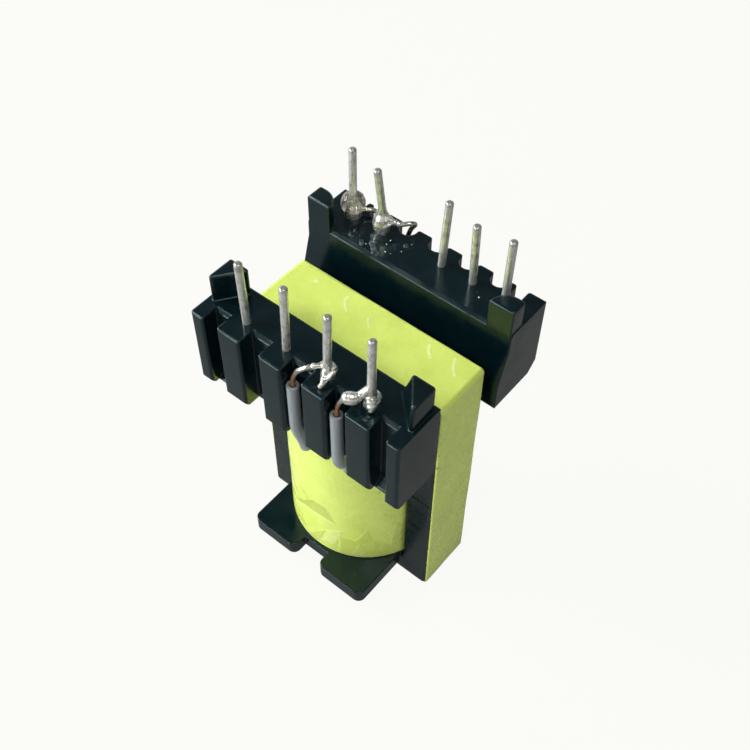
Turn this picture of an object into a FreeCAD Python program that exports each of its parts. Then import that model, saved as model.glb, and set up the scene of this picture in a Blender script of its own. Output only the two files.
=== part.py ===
import FreeCAD, Part
import math
import os

import Sketcher

# A switch-mode transformer for a circuit board, standing on its core with its pins up.
# X runs along the two pin rails, Y from the front rail to the rear one, Z up.
# The origin is the middle of the core, on the surface that the taped core rests on.
# Every length is in millimetres, every angle in degrees.
SIZES = {
    # Ferrite core: two equal halves with a round centre post
    "core_width": 25.5,
    "core_thickness": 8.0,
    "core_half_height": 18.0,
    "yoke_height": 3.1,
    "post_radius": 3.75,
    "air_gap": 0.4,
    "leg_curve_radius": 10.1,
    "core_corner_radius": 0.5,
    "core_edge_radius": 0.35,
    # Tape band round the core
    "band_thickness": 0.2,
    "band_width": 7.5,
    # Bobbin: the tube round the centre post and the lower flange
    "post_clearance": 0.25,
    "tube_wall": 0.8,
    "yoke_clearance": 0.1,
    "flange_clearance": 0.3,
    "lower_flange_thickness": 0.8,
    "side_clearance": 0.3,
    "tab_half_width": 8.9,
    "front_tab_reach": 12.2,
    "rear_tab_reach": 11.0,
    "tab_thickness": 2.0,
    "tab_notch_half_width": 1.9,
    "tab_notch_depth": 2.1,
    "tab_corner_radius": 1.0,
    # Bobbin: the upper flange that carries both rails
    "upper_flange_thickness": 2.6,
    "rail_half_length": 14.0,
    "rail_top": 40.0,
    "rail_bottom": 29.2,
    "rail_edge_chamfer": 0.5,
    "front_rail_inner": 5.75,
    "front_rail_outer": 12.3,
    "rear_rail_inner": 6.3,
    "rear_rail_outer": 12.8,
    "rear_rail_foot": 5.0,
    "rear_slope_top": 37.6,
    "rear_back_chamfer": 1.3,
    "rear_ledge_chamfer": 0.4,
    # Wire slots of the front rail
    "slot_depth": 2.0,
    "middle_slot_half_width": 1.4,
    "side_slot_start": 4.4,
    "side_slot_end": 7.1,
    "end_slot_width": 2.05,
    "end_rib_width": 1.7,
    "slot_chamfer": 0.4,
    "slot_lip": 1.0,
    "rib_edge_radius": 0.35,
    # Wire notches of the rear rail
    "notch_depth": 1.6,
    "notch_radius": 1.12,
    "end_notch_width": 1.5,
    "end_tooth_width": 2.2,
    "tooth_edge_radius": 0.3,
    # Stand-off posts at the ends of the rails
    "standoff_height": 3.5,
    "gusset_inset": 0.4,
    "gusset_back": 0.4,
    "gusset_depth": 4.05,
    "gusset_width": 2.95,
    "right_gusset_foot": 1.3,
    "block_inset": 0.1,
    "block_width": 3.1,
    "block_depth": 2.2,
    "standoff_edge_radius": 0.3,
    # Winding layers, from the tube outwards
    "winding_end_clearance": 0.1,
    "inner_primary_build": 1.4,
    "layer_tape": 0.15,
    "secondary_build": 1.4,
    "outer_primary_build": 1.5,
    "outer_tape": 0.35,
    "winding_room": 0.55,
    # Pins
    "pin_radius": 0.45,
    "pin_top": 48.9,
    "pin_seat": 6.0,
    "pin_bend_radius": 1.5,
    "pin_tip_radius": 0.25,
    "bend_above_solder": 0.2,
    "front_pin_row": 9.6,
    "front_pitch": 5.6,
    "rear_pin_row": 10.1,
    "rear_pitch": 4.2,
    # Lead wires and their sleeves
    "wire_radius": 0.28,
    "sleeve_radius": 0.7,
    "sleeve_bore_radius": 0.36,
    "sleeve_clearance": 0.35,
    "notch_sleeve_clearance": 0.1,
    "tape_contact": 0.05,
    "sleeve_rise": 1.3,
    "sleeve_lift": 0.25,
    "front_sleeve_drop": 3.8,
    "rear_sleeve_drop": 4.4,
    "rear_swing_drop": 1.4,
    "front_sleeve_end": 2.5,
    "rear_sleeve_end": 1.4,
    "wrap_clearance": 0.12,
    # Solder on the pins
    "solder_lip": 0.25,
    "solder_film": 0.06,
    "front_solder_radius": 1.25,
    "front_solder_height": 2.3,
    "rear_solder_radius": 1.15,
    "rear_solder_belly": 1.7,
    "rear_solder_height": 3.0,
    "flux_radius": 1.6,
    "flux_height": 2.6,
    # How far each pin leans, and the direction it leans in, from +X towards +Y
    "front_lean_1": 1.8,
    "front_lean_2": 1.2,
    "front_lean_3": 1.7,
    "front_lean_4": 5.0,
    "front_heading_1": -70.0,
    "front_heading_2": 40.0,
    "front_heading_3": 20.0,
    "front_heading_4": 122.0,
    "rear_lean_1": 7.0,
    "rear_lean_2": 6.1,
    "rear_lean_4": 2.6,
    "rear_lean_5": 4.9,
    "rear_lean_6": 1.6,
    "rear_heading_1": 131.0,
    "rear_heading_2": -126.0,
    "rear_heading_4": 63.0,
    "rear_heading_5": -72.0,
    "rear_heading_6": -50.0,
}

FRONT_PLACES = 4
REAR_PLACES = 6
EMPTY_REAR_PLACES = (3,)
FRONT_PINS = range(1, FRONT_PLACES + 1)
REAR_PINS = [place for place in range(1, REAR_PLACES + 1) if place not in EMPTY_REAR_PLACES]


class Size:
    """A number that also knows the sheet expression it comes from."""

    def __init__(self, value, text):
        self.value = float(value)
        self.text = text

    def __add__(self, other):
        other = as_size(other)
        return Size(self.value + other.value, "({} + {})".format(self.text, other.text))

    def __sub__(self, other):
        other = as_size(other)
        return Size(self.value - other.value, "({} - {})".format(self.text, other.text))

    def __mul__(self, other):
        other = as_size(other)
        return Size(self.value * other.value, "({} * {})".format(self.text, other.text))

    def __truediv__(self, other):
        other = as_size(other)
        return Size(self.value / other.value, "({} / {})".format(self.text, other.text))

    def __neg__(self):
        return Size(-self.value, "(0 - {})".format(self.text))

    def sin(self):
        return Size(math.sin(math.radians(self.value)), "sin({} * 1deg)".format(self.text))

    def cos(self):
        return Size(math.cos(math.radians(self.value)), "cos({} * 1deg)".format(self.text))


def as_size(number):
    """Turn a plain number into a Size, and leave a Size as it is."""
    if isinstance(number, Size):
        return number
    return Size(number, repr(float(number)))


ZERO = as_size(0)


def make_sheet(doc):
    """Write every driving size into the document's sheet, one named cell each."""
    sheet = doc.addObject("Spreadsheet::Sheet", "Sizes")
    for row, (name, value) in enumerate(SIZES.items(), start=1):
        sheet.set("A{}".format(row), name)
        sheet.set("B{}".format(row), str(value))
        sheet.setAlias("B{}".format(row), name)
    doc.recompute()
    return sheet


doc = FreeCAD.newDocument("board_transformer")
sheet = make_sheet(doc)


def size(name):
    """The driving size of that name, read back from the sheet."""
    return Size(getattr(sheet, name), "Sizes.{}".format(name))


# Heights and radii that several pieces share
core_bottom = size("band_thickness")
core_top = core_bottom + size("core_half_height") * 2
spool_bottom = core_bottom + size("yoke_height") + size("yoke_clearance")
spool_top = core_top - size("yoke_height") - size("yoke_clearance")
lower_flange_top = spool_bottom + size("lower_flange_thickness")
upper_flange_bottom = spool_top - size("upper_flange_thickness")
bore_radius = size("post_radius") + size("post_clearance")
tube_radius = bore_radius + size("tube_wall")
flange_radius = size("leg_curve_radius") - size("flange_clearance")
core_side = size("core_thickness") / 2
flange_side = core_side + size("side_clearance")
slot_floor = size("front_rail_outer") - size("slot_depth")
notch_floor = size("rear_rail_outer") - size("notch_depth")
rail_length = size("rail_half_length") * 2
standoff_top = size("rail_top") + size("standoff_height")
rail_top = size("rail_top")
inner_primary_radius = tube_radius + size("inner_primary_build")
inner_tape_radius = inner_primary_radius + size("layer_tape")
secondary_radius = inner_tape_radius + size("secondary_build")
middle_tape_radius = secondary_radius + size("layer_tape")
outer_primary_radius = middle_tape_radius + size("outer_primary_build")
winding_radius = outer_primary_radius + size("outer_tape")


class Drawing:
    """A sketch on one of a body's own planes, held by sizes from the sheet."""

    def __init__(self, body, name, role, offset=ZERO):
        plane = [item for item in body.Origin.OriginFeatures if item.Role == role][0]
        self.sketch = body.newObject("Sketcher::SketchObject", name)
        self.sketch.AttachmentSupport = [(plane, "")]
        self.sketch.MapMode = "FlatFace"
        self.sketch.AttachmentOffset = FreeCAD.Placement(FreeCAD.Vector(0, 0, offset.value), FreeCAD.Rotation())
        if offset is not ZERO:
            self.sketch.setExpression("AttachmentOffset.Base.z", offset.text)

    def bind(self, kind, *where, to):
        """Add a dimension and tie it to its size."""
        index = self.sketch.addConstraint(Sketcher.Constraint(kind, *where, to.value))
        self.sketch.setExpression("Constraints[{}]".format(index), to.text)

    def hold(self, edge, end, x, y):
        """Hold one point of an edge at x and y from the origin."""
        for kind, axis, value in (("DistanceX", -2, x), ("DistanceY", -1, y)):
            if value is ZERO:
                self.sketch.addConstraint(Sketcher.Constraint("PointOnObject", edge, end, axis))
            else:
                self.bind(kind, -1, 1, edge, end, to=value)

    def polygon(self, points):
        """Draw a closed outline of straight edges through the points."""
        first = self.sketch.GeometryCount
        corners = [FreeCAD.Vector(x.value, y.value, 0) for x, y in points]
        count = len(points)
        for index in range(count):
            self.sketch.addGeometry(Part.LineSegment(corners[index], corners[(index + 1) % count]))
        for index in range(count):
            after = first + (index + 1) % count
            self.sketch.addConstraint(Sketcher.Constraint("Coincident", first + index, 2, after, 1))
        for index, (x, y) in enumerate(points):
            self.hold(first + index, 1, x, y)

    def rectangle(self, low_x, low_y, high_x, high_y):
        """Draw a rectangle between two corners."""
        self.polygon([(low_x, low_y), (high_x, low_y), (high_x, high_y), (low_x, high_y)])

    def rounded_block(self, side, inner, outer, front, depth):
        """Draw a block whose inner corner at the back is one round of the block's whole depth."""
        middle_x = (inner + depth) * side
        back = front + depth
        corners = [(inner * side, front), (outer * side, front), (outer * side, back), (middle_x, back)]
        points = [FreeCAD.Vector(x.value, y.value, 0) for x, y in corners]
        for start, end in zip(points, points[1:]):
            self.sketch.addGeometry(Part.LineSegment(start, end))
        first = self.sketch.GeometryCount - 3
        circle = Part.Circle(FreeCAD.Vector(middle_x.value, front.value, 0), FreeCAD.Vector(0, 0, 1), depth.value)
        start_angle = math.pi / 2 if side > 0 else 0
        arc = self.sketch.addGeometry(Part.ArcOfCircle(circle, start_angle, start_angle + math.pi / 2))
        top_end, low_end = (1, 2) if side > 0 else (2, 1)
        for joined in ((first, 2, first + 1, 1), (first + 1, 2, first + 2, 1), (first + 2, 2, arc, top_end),
                       (arc, low_end, first, 1)):
            self.sketch.addConstraint(Sketcher.Constraint("Coincident", *joined))
        for index, (x, y) in enumerate(corners[:3]):
            self.hold(first + index, 1, x, y)
        self.hold(arc, top_end, *corners[3])
        self.bind("Radius", arc, to=depth)

    def circle(self, x, y, radius):
        """Draw a circle round a point."""
        edge = self.sketch.addGeometry(Part.Circle(FreeCAD.Vector(x.value, y.value, 0),
                                                   FreeCAD.Vector(0, 0, 1), radius.value))
        self.bind("Radius", edge, to=radius)
        self.hold(edge, 3, x, y)


def new_body(label):
    """Start an empty sub-part."""
    body = doc.addObject("PartDesign::Body", label)
    body.Label = label
    return body


def extrude(body, kind, name, drawing, length):
    """Pad a drawing along its plane's direction, or pocket it against that direction."""
    feature = body.newObject("PartDesign::" + kind, name)
    feature.Profile = drawing.sketch
    feature.Length = length.value
    feature.setExpression("Length", length.text)
    drawing.sketch.Visibility = False
    doc.recompute()
    return feature


def loft(body, name, low, high):
    """Add the form between a low drawing and a high one, with straight sides."""
    feature = body.newObject("PartDesign::AdditiveLoft", name)
    feature.Profile = low.sketch
    feature.Sections = [high.sketch]
    feature.Ruled = True
    for drawing in (low, high):
        drawing.sketch.Visibility = False
    doc.recompute()
    return feature


def soften(body, kind, name, test, amount):
    """Round or chamfer the edges of the body so far that pass the test."""
    base = body.Tip
    names = ["Edge{}".format(number) for number, edge in enumerate(base.Shape.Edges, start=1) if test(edge)]
    feature = body.newObject("PartDesign::" + kind, name)
    feature.Base = (base, names)
    field = "Radius" if kind == "Fillet" else "Size"
    setattr(feature, field, amount.value)
    feature.setExpression(field, amount.text)
    doc.recompute()
    return feature


def near(first, second):
    """Whether two lengths are the same to a hundredth of a millimetre."""
    return abs(first - second) < 0.01


def along(edge, axis):
    """Whether a straight edge runs along that axis, 0 for X, 1 for Y, 2 for Z."""
    if len(edge.Vertexes) != 2 or edge.Curve.TypeId != "Part::GeomLine":
        return False
    start, end = (vertex.Point for vertex in edge.Vertexes)
    return all(near(start[i], end[i]) for i in range(3) if i != axis)


def middle(edge):
    """The middle point of an edge's box."""
    return edge.BoundBox.Center


# Core

def make_core_half(label, turned):
    """One ferrite half, open end up. A turned half stands on the other one."""
    body = new_body(label)
    half_width = size("core_width") / 2
    block = Drawing(body, label + "_block", "XY_Plane")
    block.rectangle(-half_width, -core_side, half_width, core_side)
    extrude(body, "Pad", label + "_pad", block, size("core_half_height"))
    window = Drawing(body, label + "_window", "XY_Plane", size("core_half_height"))
    window.circle(ZERO, ZERO, size("post_radius"))
    window.circle(ZERO, ZERO, size("leg_curve_radius"))
    extrude(body, "Pocket", label + "_cut", window, size("core_half_height") - size("yoke_height"))
    ground = Drawing(body, label + "_ground", "XY_Plane", size("core_half_height"))
    ground.circle(ZERO, ZERO, size("post_radius"))
    extrude(body, "Pocket", label + "_gap", ground, size("air_gap") / 2)
    soften(body, "Fillet", label + "_corners", lambda edge: along(edge, 1) and near(middle(edge).z, 0),
           size("core_corner_radius"))
    soften(body, "Fillet", label + "_edges",
           lambda edge: along(edge, 2) and near(abs(middle(edge).x), half_width.value)
           and near(abs(middle(edge).y), core_side.value), size("core_edge_radius"))
    if turned:
        body.Placement = FreeCAD.Placement(FreeCAD.Vector(0, 0, core_top.value),
                                           FreeCAD.Rotation(FreeCAD.Vector(1, 0, 0), 180))
        body.setExpression("Placement.Base.z", core_top.text)
    else:
        body.Placement.Base.z = core_bottom.value
        body.setExpression("Placement.Base.z", core_bottom.text)
    return body


def make_core_band():
    """The tape wound round the outside of the core, flush on its four faces."""
    label = "core_tape_band"
    body = new_body(label)
    thickness = size("band_thickness")
    inner_x = size("core_width") / 2
    outer_x = inner_x + thickness
    outer_top = core_top + thickness
    half_width = size("band_width") / 2
    outside = Drawing(body, label + "_outside", "XZ_Plane", -half_width)
    outside.rectangle(-outer_x, ZERO, outer_x, outer_top)
    extrude(body, "Pad", label + "_pad", outside, size("band_width"))
    inside = Drawing(body, label + "_inside", "XZ_Plane", half_width)
    inside.rectangle(-inner_x, core_bottom, inner_x, core_top)
    extrude(body, "Pocket", label + "_cut", inside, size("band_width"))
    soften(body, "Fillet", label + "_inner_corners",
           lambda edge: along(edge, 1) and near(abs(middle(edge).x), inner_x.value),
           size("core_corner_radius"))
    soften(body, "Fillet", label + "_outer_corners",
           lambda edge: along(edge, 1) and near(abs(middle(edge).x), outer_x.value),
           size("core_corner_radius") + thickness)
    return body


# Bobbin

def tab_outline(side):
    """The outline of the two tabs on one side of the lower flange, with the notch between them."""
    wide = size("tab_half_width")
    narrow = size("tab_notch_half_width")
    reach = size("front_tab_reach" if side < 0 else "rear_tab_reach")
    floor = (reach - size("tab_notch_depth")) * side
    reach = reach * side
    inner = flange_side * side
    return [(-wide, inner), (-wide, reach), (-narrow, reach), (-narrow, floor),
            (narrow, floor), (narrow, reach), (wide, reach), (wide, inner)]


def add_spool(body):
    """The tube round the centre post, the two flanges and the tabs of the lower one."""
    tube = Drawing(body, "tube_circle", "XY_Plane", spool_bottom)
    tube.circle(ZERO, ZERO, tube_radius)
    extrude(body, "Pad", "tube", tube, spool_top - spool_bottom)
    disc = Drawing(body, "lower_flange_circle", "XY_Plane", spool_bottom)
    disc.circle(ZERO, ZERO, flange_radius)
    extrude(body, "Pad", "lower_flange", disc, size("lower_flange_thickness"))
    tabs = Drawing(body, "tab_outlines", "XY_Plane", lower_flange_top - size("tab_thickness"))
    for side in (-1, 1):
        tabs.polygon(tab_outline(side))
    extrude(body, "Pad", "tabs", tabs, size("tab_thickness"))
    disc = Drawing(body, "upper_flange_circle", "XY_Plane", upper_flange_bottom)
    disc.circle(ZERO, ZERO, flange_radius)
    extrude(body, "Pad", "upper_flange", disc, size("upper_flange_thickness"))
    # The plate passes between the legs of the core, where their curve is cut off by its sides
    half_span = Size(math.sqrt(size("leg_curve_radius").value ** 2 - core_side.value ** 2),
                     "sqrt({0} * {0} - {1} * {1})".format(size("leg_curve_radius").text, core_side.text))
    plate_x = half_span - size("flange_clearance")
    plate = Drawing(body, "upper_plate_outline", "XY_Plane", upper_flange_bottom)
    plate.rectangle(-plate_x, -size("front_rail_inner"), plate_x, size("rear_rail_inner"))
    extrude(body, "Pad", "upper_plate", plate, size("upper_flange_thickness"))


def add_rails(body):
    """The two rails that hold the pins, drawn as sections across them."""
    start = -size("rail_half_length")
    bottom = size("rail_bottom")
    chamfer = size("rail_edge_chamfer")
    inner = -size("front_rail_inner")
    outer = -size("front_rail_outer")
    front = Drawing(body, "front_rail_section", "YZ_Plane", start)
    front.polygon([(inner, bottom), (inner, rail_top), (outer, rail_top), (outer, bottom + chamfer),
                   (outer + chamfer, bottom)])
    extrude(body, "Pad", "front_rail", front, rail_length)
    inner = size("rear_rail_inner")
    outer = size("rear_rail_outer")
    foot = size("rear_rail_foot")
    chamfer = size("rear_back_chamfer")
    ledge = size("rear_ledge_chamfer")
    rear = Drawing(body, "rear_rail_section", "YZ_Plane", start)
    rear.polygon([(foot, bottom), (foot, spool_top), (inner, size("rear_slope_top")), (inner, rail_top - ledge),
                  (inner + ledge, rail_top), (outer, rail_top), (outer, bottom + chamfer),
                  (outer - chamfer, bottom)])
    extrude(body, "Pad", "rear_rail", rear, rail_length)
    # Both rails reach lower than the upper flange, beside the winding, so it gets its room
    room = Drawing(body, "winding_room_circles", "XY_Plane", upper_flange_bottom)
    room.circle(ZERO, ZERO, tube_radius)
    room.circle(ZERO, ZERO, winding_radius + size("winding_room"))
    extrude(body, "Pocket", "winding_room_cut", room, upper_flange_bottom - bottom)


def add_front_slots(body):
    """Five wire slots between the ribs of the front rail. The end ones have a sloping floor."""
    middle_half = size("middle_slot_half_width")
    side_start = size("side_slot_start")
    side_end = size("side_slot_end")
    end_end = size("rail_half_length") - size("end_rib_width")
    end_start = end_end - size("end_slot_width")
    slots = [("end_left", -end_end, -end_start, True), ("side_left", -side_end, -side_start, False),
             ("middle", -middle_half, middle_half, False), ("side_right", side_start, side_end, False),
             ("end_right", end_start, end_end, True)]
    outside = -size("front_rail_outer") - size("slot_depth")
    below = size("rail_bottom") - size("slot_depth")
    floor = -slot_floor
    chamfer = size("slot_chamfer")
    lip = size("slot_lip")
    for name, left, right, has_lip in slots:
        low = (floor, below)
        points = [(outside, below), low, (floor, rail_top - chamfer), (floor + chamfer, rail_top),
                  (outside, rail_top)]
        if has_lip:
            points[1:2] = [(floor - lip, below), (floor - lip, size("rail_bottom")),
                           (floor, size("rail_bottom") + lip)]
        section = Drawing(body, name + "_slot_section", "YZ_Plane", right)
        section.polygon(points)
        extrude(body, "Pocket", name + "_slot", section, right - left)


def add_rear_notches(body):
    """Round wire notches between the pins of the rear rail, and a narrow one at each end."""
    plan = Drawing(body, "notch_circles", "XY_Plane", rail_top)
    row = notch_floor + size("notch_radius")
    for place in range(1, REAR_PLACES):
        plan.circle(size("rear_pitch") * (place - REAR_PLACES / 2) if place != REAR_PLACES / 2 else ZERO,
                    row, size("notch_radius"))
    outside = size("rear_rail_outer") + size("notch_depth")
    end = size("rail_half_length") - size("end_tooth_width")
    for side in (-1, 1):
        plan.rectangle((end - size("end_notch_width")) * side, notch_floor, end * side, outside)
    extrude(body, "Pocket", "rear_notches", plan, rail_top - size("rail_bottom"))


def gusset_outline(side, foot):
    """The three corners of a gusset, reaching further in by its foot."""
    back = -(size("front_rail_inner") + size("gusset_back"))
    outer = size("rail_half_length") - size("gusset_inset")
    inner = outer - size("gusset_width") - foot
    return [(outer * side, back), (outer * side, back - size("gusset_depth")), (inner * side, back)]


def add_standoffs(body):
    """Corner gussets on the front rail and rounded blocks on the rear rail, which lift the board."""
    for name, side, foot in (("left", -1, ZERO), ("right", 1, size("right_gusset_foot"))):
        low = Drawing(body, name + "_gusset_foot", "XY_Plane", rail_top)
        low.polygon(gusset_outline(side, foot))
        high = Drawing(body, name + "_gusset_top", "XY_Plane", standoff_top)
        high.polygon(gusset_outline(side, ZERO))
        loft(body, name + "_gusset", low, high)
    # The blocks start below the rail's top, because they fill its chamfered edge
    ledge = size("rear_ledge_chamfer")
    outer = size("rail_half_length") - size("block_inset")
    blocks = Drawing(body, "block_outlines", "XY_Plane", rail_top - ledge)
    for side in (-1, 1):
        blocks.rounded_block(side, outer - size("block_width"), outer, size("rear_rail_inner"), size("block_depth"))
    extrude(body, "Pad", "blocks", blocks, size("standoff_height") + ledge)


def front_pin_place(number):
    """Where a front pin stands, numbered from the left."""
    return size("front_pitch") * (number - (FRONT_PLACES + 1) / 2), -size("front_pin_row")


def rear_pin_place(number):
    """Where a rear pin stands, numbered from the left, the place with no pin included."""
    return size("rear_pitch") * (number - (REAR_PLACES + 1) / 2), size("rear_pin_row")


def add_openings(body):
    """The bore for the centre post and the seats of the pins."""
    bore = Drawing(body, "bore_circle", "XY_Plane", spool_top)
    bore.circle(ZERO, ZERO, bore_radius)
    extrude(body, "Pocket", "bore", bore, spool_top - spool_bottom)
    seats = Drawing(body, "pin_seat_circles", "XY_Plane", rail_top)
    places = [front_pin_place(number) for number in FRONT_PINS]
    places += [rear_pin_place(number) for number in REAR_PINS]
    for x, y in places:
        seats.circle(x, y, size("pin_radius"))
    extrude(body, "Pocket", "pin_seats", seats, size("pin_seat"))


def soften_bobbin(body):
    """Round the tabs, the ribs and the stand-offs as the moulding is."""
    ends = (-size("front_tab_reach").value, size("rear_tab_reach").value)
    tab_middle = (lower_flange_top - size("tab_thickness") / 2).value
    soften(body, "Fillet", "tab_corners",
           lambda edge: along(edge, 2) and near(middle(edge).z, tab_middle)
           and any(near(middle(edge).y, end) for end in ends), size("tab_corner_radius"))
    outer = -size("front_rail_outer").value
    soften(body, "Fillet", "rib_edges",
           lambda edge: near(middle(edge).y, outer) and (along(edge, 2) or (
               along(edge, 0) and near(middle(edge).z, rail_top.value))), size("rib_edge_radius"))
    back = size("rear_rail_outer").value
    soften(body, "Fillet", "tooth_edges",
           lambda edge: along(edge, 2) and near(middle(edge).y, back)
           and near(middle(edge).z + edge.Length / 2, rail_top.value)
           and not near(abs(middle(edge).x), size("rail_half_length").value), size("tooth_edge_radius"))
    standoff_middle = (rail_top + size("standoff_height") / 2).value
    round_y = (size("rear_rail_inner") + size("block_depth")).value
    outer_x = (size("rail_half_length") - size("block_inset")).value
    soften(body, "Fillet", "standoff_edges",
           lambda edge: near(middle(edge).z, standoff_top.value)
           or (near(middle(edge).z, standoff_middle) and middle(edge).y < 0)
           or (along(edge, 2) and near(middle(edge).y, round_y) and near(abs(middle(edge).x), outer_x)),
           size("standoff_edge_radius"))


def make_bobbin():
    """The whole moulding: spool, flanges, tabs, rails and stand-offs in one piece."""
    body = new_body("bobbin")
    add_spool(body)
    add_rails(body)
    add_front_slots(body)
    add_rear_notches(body)
    add_standoffs(body)
    add_openings(body)
    soften_bobbin(body)
    return body


# Windings

def make_layer(label, inner_radius, outer_radius):
    """One layer of the winding, as the ring that it fills between the flanges."""
    body = new_body(label)
    start = lower_flange_top + size("winding_end_clearance")
    end = upper_flange_bottom - size("winding_end_clearance")
    ring = Drawing(body, label + "_ring", "XY_Plane", start)
    ring.circle(ZERO, ZERO, inner_radius)
    ring.circle(ZERO, ZERO, outer_radius)
    extrude(body, "Pad", label + "_pad", ring, end - start)
    return body


def make_windings():
    """Two halves of the primary round the secondary, with tape between and outside."""
    radii = [("inner_primary_winding", tube_radius, inner_primary_radius),
             ("inner_insulation_tape", inner_primary_radius, inner_tape_radius),
             ("secondary_winding", inner_tape_radius, secondary_radius),
             ("middle_insulation_tape", secondary_radius, middle_tape_radius),
             ("outer_primary_winding", middle_tape_radius, outer_primary_radius),
             ("outer_insulation_tape", outer_primary_radius, winding_radius)]
    return [make_layer(label, inner, outer) for label, inner, outer in radii]


# Pins

def make_pin(label, place, lean, heading, straight):
    """A round pin, straight in its seat and so far above the rail, then leaning a little."""
    body = new_body(label)
    upright = size("pin_seat") + straight
    bend = size("pin_bend_radius")
    round_end_x = bend * (as_size(1) - lean.cos())
    round_end_z = upright + bend * lean.sin()
    free = (size("pin_top") - rail_top - straight - bend * lean.sin()) / lean.cos()
    tip_x = round_end_x + free * lean.sin()
    tip_z = round_end_z + free * lean.cos()
    section = Drawing(body, label + "_section", "XY_Plane")
    section.circle(ZERO, ZERO, size("pin_radius"))
    route = Drawing(body, label + "_route", "XZ_Plane")
    sketch = route.sketch
    corner = FreeCAD.Vector(round_end_x.value, round_end_z.value, 0)
    circle = Part.Circle(FreeCAD.Vector(bend.value, upright.value, 0), FreeCAD.Vector(0, 0, 1), bend.value)
    sketch.addGeometry(Part.LineSegment(FreeCAD.Vector(0, 0, 0), FreeCAD.Vector(0, upright.value, 0)))
    sketch.addGeometry(Part.ArcOfCircle(circle, math.pi - math.radians(lean.value), math.pi))
    sketch.addGeometry(Part.LineSegment(corner, FreeCAD.Vector(tip_x.value, tip_z.value, 0)))
    sketch.addConstraint(Sketcher.Constraint("Coincident", 0, 1, -1, 1))
    sketch.addConstraint(Sketcher.Constraint("Vertical", 0))
    route.bind("DistanceY", 0, 1, 0, 2, to=upright)
    sketch.addConstraint(Sketcher.Constraint("Tangent", 0, 2, 1, 2))
    sketch.addConstraint(Sketcher.Constraint("Tangent", 1, 1, 2, 1))
    route.bind("Radius", 1, to=bend)
    route.hold(2, 2, tip_x, tip_z)
    pipe = body.newObject("PartDesign::AdditivePipe", label + "_pipe")
    pipe.Profile = section.sketch
    pipe.Spine = (sketch, ["Edge1", "Edge2", "Edge3"])
    doc.recompute()
    soften(body, "Fillet", label + "_tip",
           lambda edge: edge.Curve.TypeId == "Part::GeomCircle" and edge.BoundBox.ZMin > upright.value + 1,
           size("pin_tip_radius"))
    x, y = place
    bottom = rail_top - size("pin_seat")
    body.Placement = FreeCAD.Placement(FreeCAD.Vector(x.value, y.value, bottom.value),
                                       FreeCAD.Rotation(FreeCAD.Vector(0, 0, 1), heading.value))
    body.setExpression("Placement.Base.x", x.text)
    body.setExpression("Placement.Base.y", y.text)
    body.setExpression("Placement.Base.z", bottom.text)
    body.setExpression("Placement.Rotation.Angle", heading.text)
    return body


def make_pins():
    """All nine pins, with one place of the rear row left without. A soldered pin leans above its solder."""
    above = size("bend_above_solder")
    straights = {"front_pin_3": size("front_solder_height") + above, "front_pin_4": size("front_solder_height") + above,
                 "rear_pin_1": size("flux_height") + above, "rear_pin_2": size("rear_solder_height") + above}
    pins = {}
    for row, numbers, place in (("front", FRONT_PINS, front_pin_place), ("rear", REAR_PINS, rear_pin_place)):
        for number in numbers:
            label = "{}_pin_{}".format(row, number)
            pins[label] = make_pin(label, place(number), size("{}_lean_{}".format(row, number)),
                                   size("{}_heading_{}".format(row, number)), straights.get(label, ZERO))
    return pins


# Leads

def rounded_route(points):
    """A wire of straight runs through the points, with a tangent arc at each turn."""
    points = [FreeCAD.Vector(*point) for point in points]
    edges = []
    start = points[0]
    for before, corner, after in zip(points, points[1:], points[2:]):
        back = (before - corner).normalize()
        ahead = (after - corner).normalize()
        half_turn = (math.pi - back.getAngle(ahead)) / 2
        trim = 0.45 * min((before - corner).Length, (after - corner).Length)
        radius = trim / math.tan(half_turn)
        inward = (back + ahead).normalize()
        first = corner + back * trim
        last = corner + ahead * trim
        centre = corner + inward * math.hypot(trim, radius)
        edges.append(Part.LineSegment(start, first).toShape())
        edges.append(Part.Arc(first, centre - inward * radius, last).toShape())
        start = last
    edges.append(Part.LineSegment(start, points[-1]).toShape())
    return Part.Wire(edges)


def round_bar(route, radius):
    """A round bar that follows the route."""
    start = route.Edges[0].Vertexes[0].Point
    direction = route.Edges[0].tangentAt(route.Edges[0].FirstParameter)
    return route.makePipe(Part.Face(Part.Wire(Part.makeCircle(radius, start, direction))))


def add_shape(label, shape):
    """Put a shape into the document as a sub-part of its own."""
    feature = doc.addObject("Part::Feature", label)
    feature.Label = label
    feature.Shape = shape
    feature.Placement = FreeCAD.Placement()
    return feature


def pin_wrap(place, level, order):
    """Corners of a wire that goes round a pin at that level, close to its surface."""
    x, y = (value.value for value in place)
    reach = (size("pin_radius") + size("wire_radius") + size("wrap_clearance")).value
    corners = {"front_left": (-reach, -reach), "back_left": (-reach, reach),
               "back_right": (reach, reach), "front_right": (reach, -reach)}
    return [(x + corners[name][0], y + corners[name][1], level) for name in order]


def make_lead(name, sleeve_points, wire_points):
    """A lead: the wire, and the sleeve on its first points up to the rail."""
    wire_route = rounded_route(sleeve_points + wire_points)
    wire = add_shape(name + "_wire", round_bar(wire_route, size("wire_radius").value))
    sleeve_route = rounded_route(sleeve_points)
    outside = round_bar(sleeve_route, size("sleeve_radius").value)
    bore = round_bar(sleeve_route, size("sleeve_bore_radius").value)
    sleeve = add_shape(name + "_sleeve", outside.cut(bore))
    return wire, sleeve


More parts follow.
